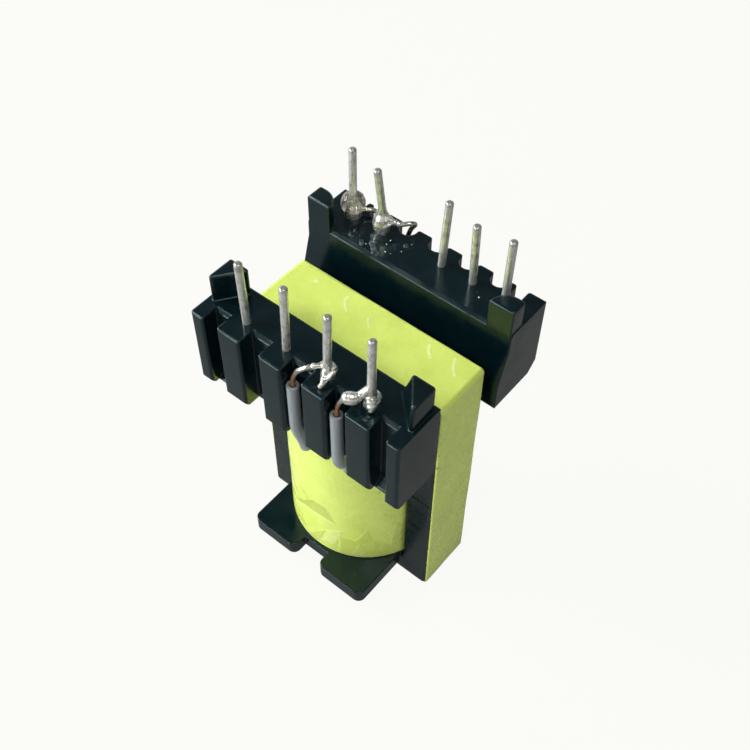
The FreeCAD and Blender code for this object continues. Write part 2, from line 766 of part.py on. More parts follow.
def sleeve_points(low_x, slot_x, slot_y, swing, end):
    """The way of a sleeve from the winding up a slot of a rail, where it lies from the swing height to its end."""
    side = math.copysign(1.0, slot_y)
    low_y = on_winding(low_x, side)
    low = swing - size("front_sleeve_drop" if side < 0 else "rear_sleeve_drop").value
    return [(low_x, low_y, low), (low_x, low_y + side * size("sleeve_lift").value, low + size("sleeve_rise").value),
            (slot_x, slot_y, swing), (slot_x, slot_y, end)]


def on_winding(x, side):
    """How far out a sleeve lies when it rests on the outer tape at that x."""
    reach = (winding_radius + size("sleeve_radius") + size("tape_contact")).value
    return side * math.sqrt(reach * reach - x * x)


def make_leads():
    """The four leads that come out of the winding, go up a rail and round a pin."""
    top = rail_top.value
    bottom = size("rail_bottom").value
    front_y = -(slot_floor + size("sleeve_radius") + size("sleeve_clearance")).value
    front_end = top - size("front_sleeve_end").value
    side_slot = ((size("side_slot_start") + size("side_slot_end")) / 2).value
    x, y = (value.value for value in front_pin_place(3))
    wire_3 = [(-0.4, front_y, top - 1.0), (0.15, front_y + 0.3, top + 0.9), (x - 1.3, front_y + 1.1, top + 1.5)]
    wire_3 += pin_wrap(front_pin_place(3), top + 1.0, ("back_left", "back_right", "front_right"))
    wire_3.append((x + 0.55, y - 1.9, top + 0.32))
    x, y = (value.value for value in front_pin_place(4))
    wire_4 = [(side_slot - 0.2, front_y, top - 1.0), (side_slot + 0.25, front_y + 0.35, top + 0.7),
              (x - 1.4, front_y + 1.2, top + 1.4)]
    wire_4 += pin_wrap(front_pin_place(4), top + 1.1, ("back_left", "back_right", "front_right"))
    wire_4.append((x + 0.45, y - 1.2, top + 0.32))
    rear_y = (notch_floor + size("sleeve_radius") + size("notch_sleeve_clearance")).value
    rear_end = top - size("rear_sleeve_end").value
    swing = bottom - size("rear_swing_drop").value
    notch_1, notch_2 = (-size("rear_pitch").value * step for step in (2, 1))
    x, y = (value.value for value in rear_pin_place(1))
    wire_1 = [(notch_1 - 0.1, rear_y - 0.1, top + 0.5), (notch_1 - 0.6, rear_y - 0.7, top + 1.1)]
    wire_1 += pin_wrap(rear_pin_place(1), top + 1.0, ("back_right", "back_left", "front_left"))
    wire_1.append((x + 0.3, y - 0.8, top + 0.8))
    x, y = (value.value for value in rear_pin_place(2))
    wire_2 = [(notch_2 + 0.45, rear_y + 0.1, top + 0.3), (notch_2 + 0.5, rear_y + 0.05, top + 1.5),
              (notch_2 - 0.35, rear_y - 0.5, top + 1.4), (notch_2 - 0.3, rear_y - 1.6, top + 0.5)]
    wire_2 += pin_wrap(rear_pin_place(2), top + 0.5, ("front_right", "front_left", "back_left"))
    wire_2.append((x - 0.1, y + 0.95, top + 0.5))
    ways = {"front_lead_3": (sleeve_points(-0.1, -0.55, front_y, bottom + 0.9, front_end), wire_3),
            "front_lead_4": (sleeve_points(side_slot - 0.75, side_slot - 0.4, front_y, bottom - 0.2, front_end), wire_4),
            "rear_lead_1": (sleeve_points(notch_1 + 2.2, notch_1, rear_y, swing, rear_end), wire_1),
            "rear_lead_2": (sleeve_points(notch_2 + 0.1, notch_2, rear_y, swing, rear_end), wire_2)}
    return {name: make_lead(name, sleeve_way, wire_way) for name, (sleeve_way, wire_way) in ways.items()}


# Solder

def solder_cone(place, radius, height):
    """Solder that has wetted a pin: wide on the rail and drawn up to the pin in a hollow curve."""
    low = FreeCAD.Vector(radius, 0, 0)
    lip = FreeCAD.Vector(radius, 0, size("solder_lip").value)
    waist = FreeCAD.Vector(radius * 0.58, 0, height * 0.4)
    top = FreeCAD.Vector((size("pin_radius") + size("solder_film")).value, 0, height)
    axis_top = FreeCAD.Vector(0, 0, height)
    profile = [Part.LineSegment(FreeCAD.Vector(), low), Part.LineSegment(low, lip), Part.Arc(lip, waist, top),
               Part.LineSegment(top, axis_top), Part.LineSegment(axis_top, FreeCAD.Vector())]
    return turned(profile, place)


def solder_bulb(place, radius, belly, height):
    """Solder that has run down a pin: a round belly on the rail, and a hollow neck up to the pin."""
    low = FreeCAD.Vector(radius * 0.85, 0, 0)
    side = FreeCAD.Vector(radius, 0, belly * 0.5)
    shoulder = FreeCAD.Vector(radius * 0.72, 0, belly)
    top = FreeCAD.Vector((size("pin_radius") + size("solder_film")).value, 0, height)
    neck = FreeCAD.Vector(top.x + (shoulder.x - top.x) * 0.3, 0, belly + (height - belly) * 0.45)
    axis_top = FreeCAD.Vector(0, 0, height)
    profile = [Part.LineSegment(FreeCAD.Vector(), low), Part.Arc(low, side, shoulder),
               Part.Arc(shoulder, neck, top), Part.LineSegment(top, axis_top),
               Part.LineSegment(axis_top, FreeCAD.Vector())]
    return turned(profile, place)


def flux_ball(place, radius, height):
    """A ball of solder and flux round a pin, flattened where it sits on the rail."""
    foot = radius * 0.6
    low = FreeCAD.Vector(foot, 0, 0)
    side = FreeCAD.Vector(radius, 0, height * 0.45)
    top = FreeCAD.Vector((size("pin_radius") + size("solder_film")).value, 0, height)
    axis_top = FreeCAD.Vector(0, 0, height)
    profile = [Part.LineSegment(FreeCAD.Vector(), low), Part.Arc(low, side, top),
               Part.LineSegment(top, axis_top), Part.LineSegment(axis_top, FreeCAD.Vector())]
    return turned(profile, place)


def turned(profile, place):
    """Turn a closed profile round the pin's axis, standing on the rail."""
    face = Part.Face(Part.Wire([line.toShape() for line in profile]))
    shape = face.revolve(FreeCAD.Vector(), FreeCAD.Vector(0, 0, 1), 360)
    x, y = (value.value for value in place)
    shape.translate(FreeCAD.Vector(x, y, rail_top.value))
    return shape


def make_solder(pins, leads, bobbin):
    """The four solder joints, each with the room of its pin, wire and rail taken out."""
    front = (size("front_solder_radius").value, size("front_solder_height").value)
    bulb = [size("rear_solder_" + name).value for name in ("radius", "belly", "height")]
    ball = (size("flux_radius").value, size("flux_height").value)
    blanks = {"front_solder_3": ("front_pin_3", "front_lead_3", solder_cone(front_pin_place(3), *front)),
              "front_solder_4": ("front_pin_4", "front_lead_4", solder_cone(front_pin_place(4), *front)),
              "rear_solder_1": ("rear_pin_1", "rear_lead_1", flux_ball(rear_pin_place(1), *ball)),
              "rear_solder_2": ("rear_pin_2", "rear_lead_2", solder_bulb(rear_pin_place(2), *bulb))}
    joints = []
    for label, (pin, lead, blank) in blanks.items():
        shape = blank.cut([pins[pin].Shape, leads[lead][0].Shape, bobbin.Shape])
        solid = max(shape.Solids, key=lambda item: item.Volume)
        joints.append(add_shape(label, solid))
    return joints


def check_document():
    """Stop if any object of the document has failed."""
    for item in doc.Objects:
        if "Invalid" in item.State or "Error" in item.State:
            raise RuntimeError("{} is in state {}".format(item.Name, item.State))


def write_parts(pieces):
    """Write each sub-part to its own file, after looking at its solids."""
    os.makedirs("parts", exist_ok=True)
    for piece in pieces:
        shape = piece.Shape
        if shape.isNull() or not shape.isValid() or not shape.Solids:
            raise RuntimeError("{} has no sound solid".format(piece.Label))
        shape.exportStep("parts/{}.step".format(piece.Label))
        box = shape.BoundBox
        print("{:26s} {:10.3f} mm3  z {:.2f} to {:.2f}".format(piece.Label, shape.Volume, box.ZMin, box.ZMax))


core = [make_core_half("core_half_lower", False), make_core_half("core_half_upper", True), make_core_band()]
bobbin = make_bobbin()
windings = make_windings()
pins = make_pins()
doc.recompute()
leads = make_leads()
solder = make_solder(pins, leads, bobbin)
doc.recompute()
check_document()
pieces = core + [bobbin] + windings + list(pins.values())
for wire, sleeve in leads.values():
    pieces += [wire, sleeve]
write_parts(pieces + solder)
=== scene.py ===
"""Looks of a small switch-mode transformer for a circuit board, standing with its pins up.

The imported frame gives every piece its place. This script dresses the pieces in their finishes,
remakes the ones whose surface is too soft or too fine for the frame, and sets up a plain studio.
Lengths are in metres, written as a number of millimetres times MM. X runs along the pin rails,
Y from the front rail to the rear one and Z up.
"""
import logging
import math
from collections.abc import Iterable
from dataclasses import dataclass, replace
from enum import Enum

import bmesh
import bpy
import numpy as np
from mathutils import Matrix, Vector


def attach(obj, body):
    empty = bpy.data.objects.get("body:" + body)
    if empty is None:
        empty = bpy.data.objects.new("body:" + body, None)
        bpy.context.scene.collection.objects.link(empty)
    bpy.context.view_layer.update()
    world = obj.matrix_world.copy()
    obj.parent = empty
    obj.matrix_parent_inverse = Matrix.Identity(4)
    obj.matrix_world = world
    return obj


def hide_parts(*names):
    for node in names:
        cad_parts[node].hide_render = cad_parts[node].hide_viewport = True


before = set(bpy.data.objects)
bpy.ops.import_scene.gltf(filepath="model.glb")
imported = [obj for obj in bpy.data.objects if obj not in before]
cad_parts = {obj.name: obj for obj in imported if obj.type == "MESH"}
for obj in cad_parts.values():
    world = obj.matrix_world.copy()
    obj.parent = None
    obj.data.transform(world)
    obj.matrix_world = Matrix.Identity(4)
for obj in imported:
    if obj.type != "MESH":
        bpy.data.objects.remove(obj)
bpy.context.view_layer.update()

MM = 0.001
LOG = logging.getLogger("transformer")

Colour = tuple[float, float, float, float]
Lump = tuple[float, float, float, float]
Point = tuple[float, float, float]
Material = bpy.types.Material
Piece = bpy.types.Object
Socket = bpy.types.NodeSocket


def screen(red: int, green: int, blue: int) -> Colour:
    """Turn a colour as a screen shows it, 0 to 255, into the linear colour that a shader takes.

    Args:
        red: Its red.
        green: Its green.
        blue: Its blue.

    Returns:
        The linear colour, with full alpha.
    """
    parts = (value / 255 for value in (red, green, blue))
    return (*(part / 12.92 if part <= 0.04045 else ((part + 0.055) / 1.055) ** 2.4 for part in parts), 1.0)


class Slot(Enum):
    """The names of the material slots of the record."""

    PLASTIC = "bobbin_plastic"
    FERRITE = "ferrite"
    TAPE = "yellow_tape"
    PIN = "tinned_pin"
    WIRE = "tinned_wire"
    SLEEVE = "clear_sleeve"
    SOLDER = "solder"


# Benches for node trees

class NodeBench:
    """Adds nodes to a tree and feeds them, a few words at a time."""

    def __init__(self, tree: bpy.types.NodeTree) -> None:
        """Take up a tree."""
        self.tree = tree

    def join(self, source: object, target: Socket) -> None:
        """Link a socket to an input, or set the input to a plain value.

        Args:
            source: An output socket, or the value itself.
            target: The input socket.
        """
        if isinstance(source, Socket):
            self.tree.links.new(source, target)
        else:
            target.default_value = source

    def fed(self, kind: str, result: str | int, inputs: dict[str | int, object],
            **settings: object) -> Socket:
        """Add a node, feed its inputs and give one of its outputs.

        Args:
            kind: The node's type name.
            result: The output's name or number.
            inputs: What each input gets, by the input's name or number.
            settings: Properties of the node itself.

        Returns:
            The output's socket.
        """
        node = self.tree.nodes.new(kind)
        for name, value in settings.items():
            setattr(node, name, value)
        for name, source in inputs.items():
            self.join(source, node.inputs[name])
        return node.outputs[result]

    def span(self, value: Socket, low: float, high: float, first: float = 0.0, last: float = 1.0) -> Socket:
        """Map a stretch of a value onto another stretch, smoothly.

        Args:
            value: The value's socket.
            low: The stretch's start.
            high: Its end.
            first: What the start becomes.
            last: What the end becomes.

        Returns:
            The mapped value.
        """
        return self.fed("ShaderNodeMapRange", "Result", {
            "Value": value, "From Min": low, "From Max": high, "To Min": first, "To Max": last,
        }, interpolation_type="SMOOTHSTEP")

    def reckon(self, operation: str, first: object, second: object) -> Socket:
        """Give the result of one operation of arithmetic on two sockets or numbers."""
        return self.fed("ShaderNodeMath", 0, {0: first, 1: second}, operation=operation)


class ShaderBench(NodeBench):
    """Builds the material of one finish."""

    def __init__(self, name: str) -> None:
        """Start a material with a Principled shader.

        Args:
            name: The finish's name.
        """
        self.material = bpy.data.materials.new(name)
        self.material.use_nodes = True
        super().__init__(self.material.node_tree)
        self.shader = self.tree.nodes["Principled BSDF"]
        self.place = self.fed("ShaderNodeTexCoord", "Object", {})

    def set(self, **values: object) -> None:
        """Set inputs of the Principled shader, with underscores for the spaces of their names."""
        for name, value in values.items():
            self.join(value, self.shader.inputs[name.replace("_", " ")])

    def noise(self, size_mm: float, detail: float = 3.0, roughness: float = 0.5,
              along: Point = (1.0, 1.0, 1.0)) -> Socket:
        """Give cloudy noise whose blotches are about that wide.

        Args:
            size_mm: A blotch's width.
            detail: How many finer layers it has.
            roughness: How strong they are.
            along: A stretch of the coordinates first.

        Returns:
            The noise's value, about 0.3 to 0.7.
        """
        place = self.fed("ShaderNodeMapping", "Vector", {"Scale": along, "Vector": self.place})
        return self.fed("ShaderNodeTexNoise", "Fac", {
            "Scale": 1 / (size_mm * MM), "Detail": detail, "Roughness": roughness, "Vector": place})

    def mix(self, share: object, first: object, second: object) -> Socket:
        """Blend two colours, with the share telling how much of the second one shows."""
        return self.fed("ShaderNodeMix", 2, {0: share, 6: first, 7: second}, data_type="RGBA")

    def painted(self, name: str) -> Socket:
        """Give a value that a piece's mesh carries at its points."""
        return self.fed("ShaderNodeAttribute", "Fac", {}, attribute_name=name)

    def height(self) -> Socket:
        """Give the height above the surface that the part stands on."""
        return self.fed("ShaderNodeSeparateXYZ", "Z", {0: self.place})

    def round_edges(self, radius_mm: float) -> None:
        """Shade the edges as if they were round, with that radius in millimetres."""
        edge = self.fed("ShaderNodeBevel", "Normal", {"Radius": radius_mm * MM}, samples=6)
        self.join(edge, self.shader.inputs["Normal"])

    def bump(self, value: Socket, depth_mm: float) -> None:
        """Raise the surface by a value, on top of what is there.

        Args:
            value: The height's socket, 0 to 1.
            depth_mm: What a height of 1 is in millimetres.
        """
        before = self.shader.inputs["Normal"]
        inputs = {"Strength": 1.0, "Distance": depth_mm * MM, "Height": value}
        if before.is_linked:
            inputs["Normal"] = before.links[0].from_socket
        self.join(self.fed("ShaderNodeBump", "Normal", inputs), before)


# Finishes

@dataclass(frozen=True)
class TapeFilm:
    """Yellow polyester film, half glossy, with soft dents under it."""

    colour: Colour = screen(211, 230, 112)
    worn: Colour = screen(205, 224, 106)
    # Pale marks: scratches, and painted highlights on folds and edges.
    pale: Colour = screen(246, 250, 206)
    # Dark marks: dirty specks and nicks, and painted shade in folds, creases and at tape steps.
    dirt_and_shade: Colour = screen(120, 120, 52)
    gloss_low: float = 0.2
    gloss_high: float = 0.34
    dent_mm: float = 4.5
    dent_depth_mm: float = 0.035
    grain_mm: float = 1.1
    grain_depth_mm: float = 0.0015

    def material(self) -> Material:
        """Build the film's material.

        Returns:
            The material, which reads the attribute pale, for scratches and painted highlights, and the one
            for dirty marks and painted shade, where a piece has them.
        """
        bench = ShaderBench("yellow_film")
        cloud = bench.noise(self.dent_mm, 2.0)
        base = bench.mix(bench.span(cloud, 0.4, 0.65), self.colour, self.worn)
        # Pale scratches and painted highlights, then dirty marks and painted shade, from the piece's
        # attributes.
        base = bench.mix(bench.painted("pale"), base, self.pale)
        base = bench.mix(bench.painted("dirt_and_shade"), base, self.dirt_and_shade)
        gloss = bench.span(bench.noise(1.3), 0.35, 0.65, self.gloss_low, self.gloss_high)
        bench.set(Base_Color=base, Roughness=gloss, Specular_IOR_Level=0.5, Coat_Weight=0.2,
                  Coat_Roughness=0.1)
        bench.bump(cloud, self.dent_depth_mm)
        bench.bump(bench.noise(self.grain_mm, 2.0), self.grain_depth_mm)
        return bench.material


@dataclass(frozen=True)
class MouldedPlastic:
    """Black phenolic moulding, glossy on the outside, with soft edges and a little dust."""

    colour: Colour = screen(3, 20, 25)
    dusty: Colour = screen(28, 38, 43)
    sheen: Colour = (0.8, 1.0, 1.0, 1.0)
    gloss_low: float = 0.13
    gloss_high: float = 0.26
    skin_mm: float = 0.3
    skin_depth_mm: float = 0.003
    sink_mm: float = 4.0
    sink_depth_mm: float = 0.05
    edge_mm: float = 0.28

    def material(self) -> Material:
        """Build the moulding's material.

        Returns:
            The material.
        """
        bench = ShaderBench("black_moulding")
        bench.round_edges(self.edge_mm)
        dust = bench.span(bench.noise(0.3, 4.0, 0.7), 0.6, 0.78)
        broad = bench.span(bench.noise(5.0, 2.0), 0.45, 0.7, 0.0, 0.6)
        dust = bench.reckon("MULTIPLY", dust, broad)
        bench.set(Base_Color=bench.mix(dust, self.colour, self.dusty),
                  Roughness=bench.span(bench.noise(2.5, 3.0), 0.35, 0.65, self.gloss_low, self.gloss_high),
                  Specular_IOR_Level=0.5, Specular_Tint=self.sheen)
        bench.bump(bench.noise(self.skin_mm, 3.0), self.skin_depth_mm)
        bench.bump(bench.noise(self.sink_mm, 2.0), self.sink_depth_mm)
        return bench.material


@dataclass(frozen=True)
class GroundFerrite:
    """Fired ferrite, dark grey and half glossy, with fine pores."""

    colour: Colour = screen(14, 24, 28)
    pores: Colour = screen(10, 17, 20)
    sheen: Colour = (0.8, 1.0, 1.0, 1.0)
    grain_mm: float = 0.12
    grain_depth_mm: float = 0.002
    edge_mm: float = 0.22

    def material(self) -> Material:
        """Build the ferrite's material.

        Returns:
            The material.
        """
        bench = ShaderBench("ground_ferrite")
        bench.round_edges(self.edge_mm)
        grain = bench.noise(self.grain_mm, 4.0, 0.65)
        bench.set(Base_Color=bench.mix(bench.span(grain, 0.35, 0.5), self.pores, self.colour),
                  Roughness=bench.span(bench.noise(1.5), 0.3, 0.7, 0.24, 0.36), Specular_IOR_Level=0.6,
                  Specular_Tint=self.sheen)
        bench.bump(grain, self.grain_depth_mm)
        return bench.material


@dataclass(frozen=True)
class JointShadeBead:
    """A near-black bead in the joint of the two core halves, as painted shade of the joint's groove."""

    colour: Colour = screen(3, 4, 5)
    shiny: Colour = screen(9, 12, 14)

    def material(self) -> Material:
        """Build the bead's material.

        Returns:
            The material.
        """
        bench = ShaderBench("joint_painted_shade")
        bench.set(Base_Color=bench.mix(bench.noise(0.5), self.colour, self.shiny), Roughness=0.6,
                  Specular_IOR_Level=0.2)
        return bench.material


@dataclass(frozen=True)
class TinPlate:
    """Bright tin on drawn pin wire, with faint lines along it and a duller tip."""

    colour: Colour = screen(214, 216, 210)
    dull: Colour = screen(158, 160, 154)
    tip_from_mm: float = 48.2
    tip_to_mm: float = 48.9
    metal_share: float = 0.72

    def material(self) -> Material:
        """Build the pins' material.

        Returns:
            The material.
        """
        bench = ShaderBench("tin_plate")
        lines = bench.noise(0.12, 3.0, 0.6, (1.0, 1.0, 0.05))
        stain = bench.span(bench.noise(0.9, 4.0), 0.5, 0.7, 0.0, 0.7)
        tip = bench.span(bench.height(), self.tip_from_mm * MM, self.tip_to_mm * MM, 0.0, 0.75)
        share = bench.reckon("MAXIMUM", stain, tip)
        bench.set(Base_Color=bench.mix(share, self.colour, self.dull), Metallic=self.metal_share,
                  Roughness=bench.span(lines, 0.3, 0.7, 0.24, 0.4))
        bench.bump(lines, 0.004)
        return bench.material


@dataclass(frozen=True)
class LeadWire:
    """Copper wire that is tinned from the rail upwards."""

    name: str = "copper_lead"
    copper: Colour = screen(200, 140, 98)
    tin: Colour = screen(206, 203, 192)
    tin_from_mm: float = 39.4
    tin_to_mm: float = 40.6
    ragged_mm: float = 1.0

    def material(self) -> Material:
        """Build the wires' material.

        Returns:
            The material.
        """
        bench = ShaderBench(self.name)
        shift = bench.reckon("MULTIPLY", bench.noise(0.7), self.ragged_mm * MM)
        ragged = bench.reckon("ADD", bench.height(), shift)
        middle = self.ragged_mm / 2
        share = bench.span(ragged, (self.tin_from_mm + middle) * MM, (self.tin_to_mm + middle) * MM)
        bench.set(Base_Color=bench.mix(share, self.copper, self.tin), Metallic=1.0,
                  Roughness=bench.span(bench.noise(0.4), 0.3, 0.7, 0.16, 0.34))
        bench.bump(bench.noise(0.5), 0.008)
        return bench.material


@dataclass(frozen=True)
class WindingWire:
    """Enamelled copper, reddish brown and glossy."""

    colour: Colour = screen(176, 92, 48)
    shade: Colour = screen(132, 62, 30)

    def material(self) -> Material:
        """Build the winding wires' material.

        Returns:
            The material.
        """
        bench = ShaderBench("winding_wire")
        bench.set(Base_Color=bench.mix(bench.span(bench.noise(1.0), 0.35, 0.65), self.colour, self.shade),
                  Metallic=0.85, Roughness=0.28, Coat_Weight=0.6, Coat_Roughness=0.08)
        return bench.material


@dataclass(frozen=True)
class SleeveTube:
    """Thin milky tube that lets the dark wire show through."""

    colour: Colour = screen(176, 185, 190)
    clear_share: float = 0.5

    def material(self) -> Material:
        """Build the sleeves' material.

        Returns:
            The material.
        """
        bench = ShaderBench("sleeve_tube")
        bench.set(Base_Color=self.colour, Roughness=0.22, IOR=1.35, Transmission_Weight=self.clear_share,
                  Specular_IOR_Level=0.6)
        bench.bump(bench.noise(1.2), 0.03)
        return bench.material


@dataclass(frozen=True)
class BrightSolder:
    """Solder as it sets: a bright metal with soft ripples and a little flux."""

    colour: Colour = screen(230, 231, 224)
    dull: Colour = screen(190, 192, 184)
    metal_share: float = 0.85

    def material(self) -> Material:
        """Build the solder's material.

        Returns:
            The material.
        """
        bench = ShaderBench("bright_solder")
        ripple = bench.noise(0.8, 2.0)
        bench.set(Base_Color=bench.mix(bench.span(ripple, 0.5, 0.75), self.colour, self.dull),
                  Metallic=self.metal_share, Roughness=bench.span(bench.noise(0.5), 0.3, 0.7, 0.16, 0.3))
        bench.bump(ripple, 0.02)
        return bench.material


@dataclass(frozen=True)
class DriedFlux:
    """Thin dried flux, a pale glossy haze on the dark deck."""

    colour: Colour = screen(66, 77, 82)
    thin: Colour = screen(20, 31, 37)

    def material(self) -> Material:
        """Build the dried flux's material.

        Returns:
            The material.
        """
        bench = ShaderBench("dried_flux")
        patchy = bench.span(bench.noise(0.5, 4.0), 0.4, 0.6)
        bench.set(Base_Color=bench.mix(patchy, self.thin, self.colour),
                  Roughness=bench.span(bench.noise(0.3), 0.3, 0.7, 0.15, 0.4), Specular_IOR_Level=0.6)
        bench.bump(bench.noise(0.6), 0.015)
        return bench.material


@dataclass(frozen=True)
class FluxResin:
    """Clear resin left over the solder of one pin."""

    colour: Colour = screen(238, 236, 222)
    clear_share: float = 0.88

    def material(self) -> Material:
        """Build the resin's material.

        Returns:
            The material.
        """
        bench = ShaderBench("flux_resin")
        bench.set(Base_Color=self.colour, Roughness=0.02, IOR=1.22, Transmission_Weight=self.clear_share)
        bench.bump(bench.noise(0.9), 0.015)
        return bench.material


# Mesh tools

def placed(name: str, data: bpy.types.ID) -> Piece:
    """Put a mesh, a light or a camera into the scene, at the origin.

    Args:
        name: The new object's name.
        data: What it shows.

    Returns:
        The new object.
    """
    piece = bpy.data.objects.new(name, data)
    bpy.context.scene.collection.objects.link(piece)
    return piece


def soften_shading(piece: Piece, angle_deg: float) -> None:
    """Shade a mesh smoothly, apart from the edges that are at least that sharp.

    Args:
        piece: The piece to shade.
        angle_deg: From what angle an edge stays sharp.
    """
    for face in piece.data.polygons:
        face.use_smooth = True
    piece.data.set_sharp_from_angle(angle=math.radians(angle_deg))


def merged_copy(node: str, name: str, angle_deg: float = 32.0) -> Piece:
    """Copy a node of the frame as a clean mesh of flat faces with joined points.

    Args:
        node: The node's name.
        name: The new piece's name.
        angle_deg: From what angle an edge stays sharp.

    Returns:
        The new piece, in the node's place.
    """
    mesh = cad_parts[node].data.copy()
    mesh.name = name
    for layer in ("custom_normal", "sharp_face"):
        found = mesh.attributes.get(layer)
        if found:
            mesh.attributes.remove(found)
    work = bmesh.new()
    work.from_mesh(mesh)
    bmesh.ops.remove_doubles(work, verts=work.verts, dist=0.0005 * MM)
    bmesh.ops.dissolve_limit(work, angle_limit=math.radians(0.5), verts=work.verts, edges=work.edges)
    bmesh.ops.recalc_face_normals(work, faces=work.faces)
    work.to_mesh(mesh)
    work.free()
    mesh.materials.clear()
    piece = placed(name, mesh)
    soften_shading(piece, angle_deg)
    return piece


def tape_piece(name: str, points: np.ndarray, pale: np.ndarray, dirt_and_shade: np.ndarray) -> Piece:
    """Make a closed tape from rings of points that follow each other round the part.

    Args:
        name: The piece's name.
        points: The points in millimetres, as rings by points of a ring by three. The last two points
            of a ring are on the tape's back.
        pale: How pale each of the other points is.
        dirt_and_shade: How dirty it is, or how dark its painted shade is.

    Returns:
        The tape, which carries both as attributes.
    """
    rings, sides = points.shape[:2]
    ring, side = np.meshgrid(np.arange(rings), np.arange(sides), indexing="ij")
    after = (ring + 1) % rings
    beside = (side + 1) % sides
    faces = np.stack([ring * sides + side, after * sides + side, after * sides + beside,
                      ring * sides + beside], -1)
    mesh = bpy.data.meshes.new(name)
    mesh.from_pydata((points * MM).reshape(-1, 3).tolist(), [], faces.reshape(-1, 4).tolist())
    work = bmesh.new()
    work.from_mesh(mesh)
    bmesh.ops.recalc_face_normals(work, faces=work.faces)
    work.to_mesh(mesh)
    work.free()
    # One attribute carries pale scratches and painted highlights, the other dirty marks and painted shade.
    for label, values in (("pale", pale), ("dirt_and_shade", dirt_and_shade)):
        layer = mesh.attributes.new(label, "FLOAT", "POINT")
        layer.data.foreach_set("value", np.pad(values, ((0, 0), (0, 2))).astype(np.float32).ravel())
    piece = placed(name, mesh)
    soften_shading(piece, 60.0)
    return piece


@dataclass(frozen=True)
class Mark:
    """A line or a patch on a tape, with its points in millimetres along and across the tape."""

    points: tuple[tuple[float, float], ...]
    reach: float = 0.15
    rise: float = 0.0
    # A pale mark may be a painted highlight and a dark one painted shade, where it stands for light on a
    # fold or an edge.
    pale: float = 0.0
    dirt_and_shade: float = 0.0
    filled: bool = False

    def cover(self, along: np.ndarray, across: np.ndarray) -> np.ndarray:
        """Tell how much of the mark lies on each point.

        Args:
            along: The points' places along the tape.
            across: Their places across it.

        Returns:
            Values from 0, clear of the mark, to 1.
        """
        corners = np.array(self.points)
        ends = np.roll(corners, -1, axis=0) if self.filled else corners[1:]
        starts = corners if self.filled else corners[:-1]
        nearest = np.full(along.shape, 1e9)
        inside = np.zeros(along.shape, dtype=bool)
        for (x0, y0), (x1, y1) in zip(starts, ends):
            run = (x1 - x0) ** 2 + (y1 - y0) ** 2 + 1e-9
            share = np.clip(((along - x0) * (x1 - x0) + (across - y0) * (y1 - y0)) / run, 0, 1)
            gap = np.hypot(along - x0 - share * (x1 - x0), across - y0 - share * (y1 - y0))
            nearest = np.minimum(nearest, gap)
            if self.filled and y0 != y1:
                crossed = (y0 > across) != (y1 > across)
                inside ^= crossed & (along < x0 + (across - y0) / (y1 - y0) * (x1 - x0))
        if self.filled:
            level = 0.5 + np.where(inside, nearest, -nearest) / (2 * self.reach)
        else:
            level = 1 - nearest / self.reach
        level = np.clip(level, 0, 1)
        return level * level * (3 - 2 * level)


def mark_up(marks: tuple[Mark, ...], along: np.ndarray, across: np.ndarray,
            where: np.ndarray) -> tuple[np.ndarray, np.ndarray, np.ndarray]:
    """Lay marks on a tape.

    Args:
        marks: The marks.
        along: The points' places along the tape.
        across: Their places across it.
        where: True for the points that the marks may touch.

    Returns:
        How far each point rises in millimetres, how pale it is, with painted highlights, and how dirty,
        with painted shade.
    """
    rise = np.zeros(along.shape)
    pale = np.zeros(along.shape)
    dirt_and_shade = np.zeros(along.shape)
    for mark in marks:
        cover = mark.cover(along, across) * where
        rise += cover * mark.rise
        pale = np.maximum(pale, cover * mark.pale)
        dirt_and_shade = np.maximum(dirt_and_shade, cover * mark.dirt_and_shade)
    return rise, pale, dirt_and_shade


def fused(name: str, lumps: Iterable[Lump], voxel_mm: float, floor_mm: float,
          height_share: float = 1.0) -> Piece:
    """Melt round lumps into one smooth piece that stands on a level.

    Args:
        name: The piece's name.
        lumps: Each lump's centre and radius in millimetres.
        voxel_mm: The width of a face.
        floor_mm: The level that nothing goes below.
        height_share: What is kept of the height above that level.

    Returns:
        The new piece.
    """
    work = bmesh.new()
    for x, y, z, radius in lumps:
        bmesh.ops.create_icosphere(work, subdivisions=2, radius=radius * MM,
                                   matrix=Matrix.Translation(Vector((x, y, z)) * MM))
    mesh = bpy.data.meshes.new(name + "_lumps")
    work.to_mesh(mesh)
    work.free()
    piece = placed(name, mesh)
    melt = piece.modifiers.new("melt", "REMESH")
    melt.mode = "VOXEL"
    melt.voxel_size = voxel_mm * MM
    melt.use_smooth_shade = True
    flow = piece.modifiers.new("flow", "SMOOTH")
    flow.factor = 0.6
    flow.iterations = 16
    settle(piece)
    for point in piece.data.vertices:
        point.co.z = floor_mm * MM + max(point.co.z - floor_mm * MM, 0) * height_share
    return piece


def settle(piece: Piece) -> None:
    """Turn what a piece's modifiers make into its own plain mesh.

    Args:
        piece: The piece.
    """
    graph = bpy.context.evaluated_depsgraph_get()
    made = bpy.data.meshes.new_from_object(piece.evaluated_get(graph))
    piece.modifiers.clear()
    piece.data = made
    made.name = piece.name


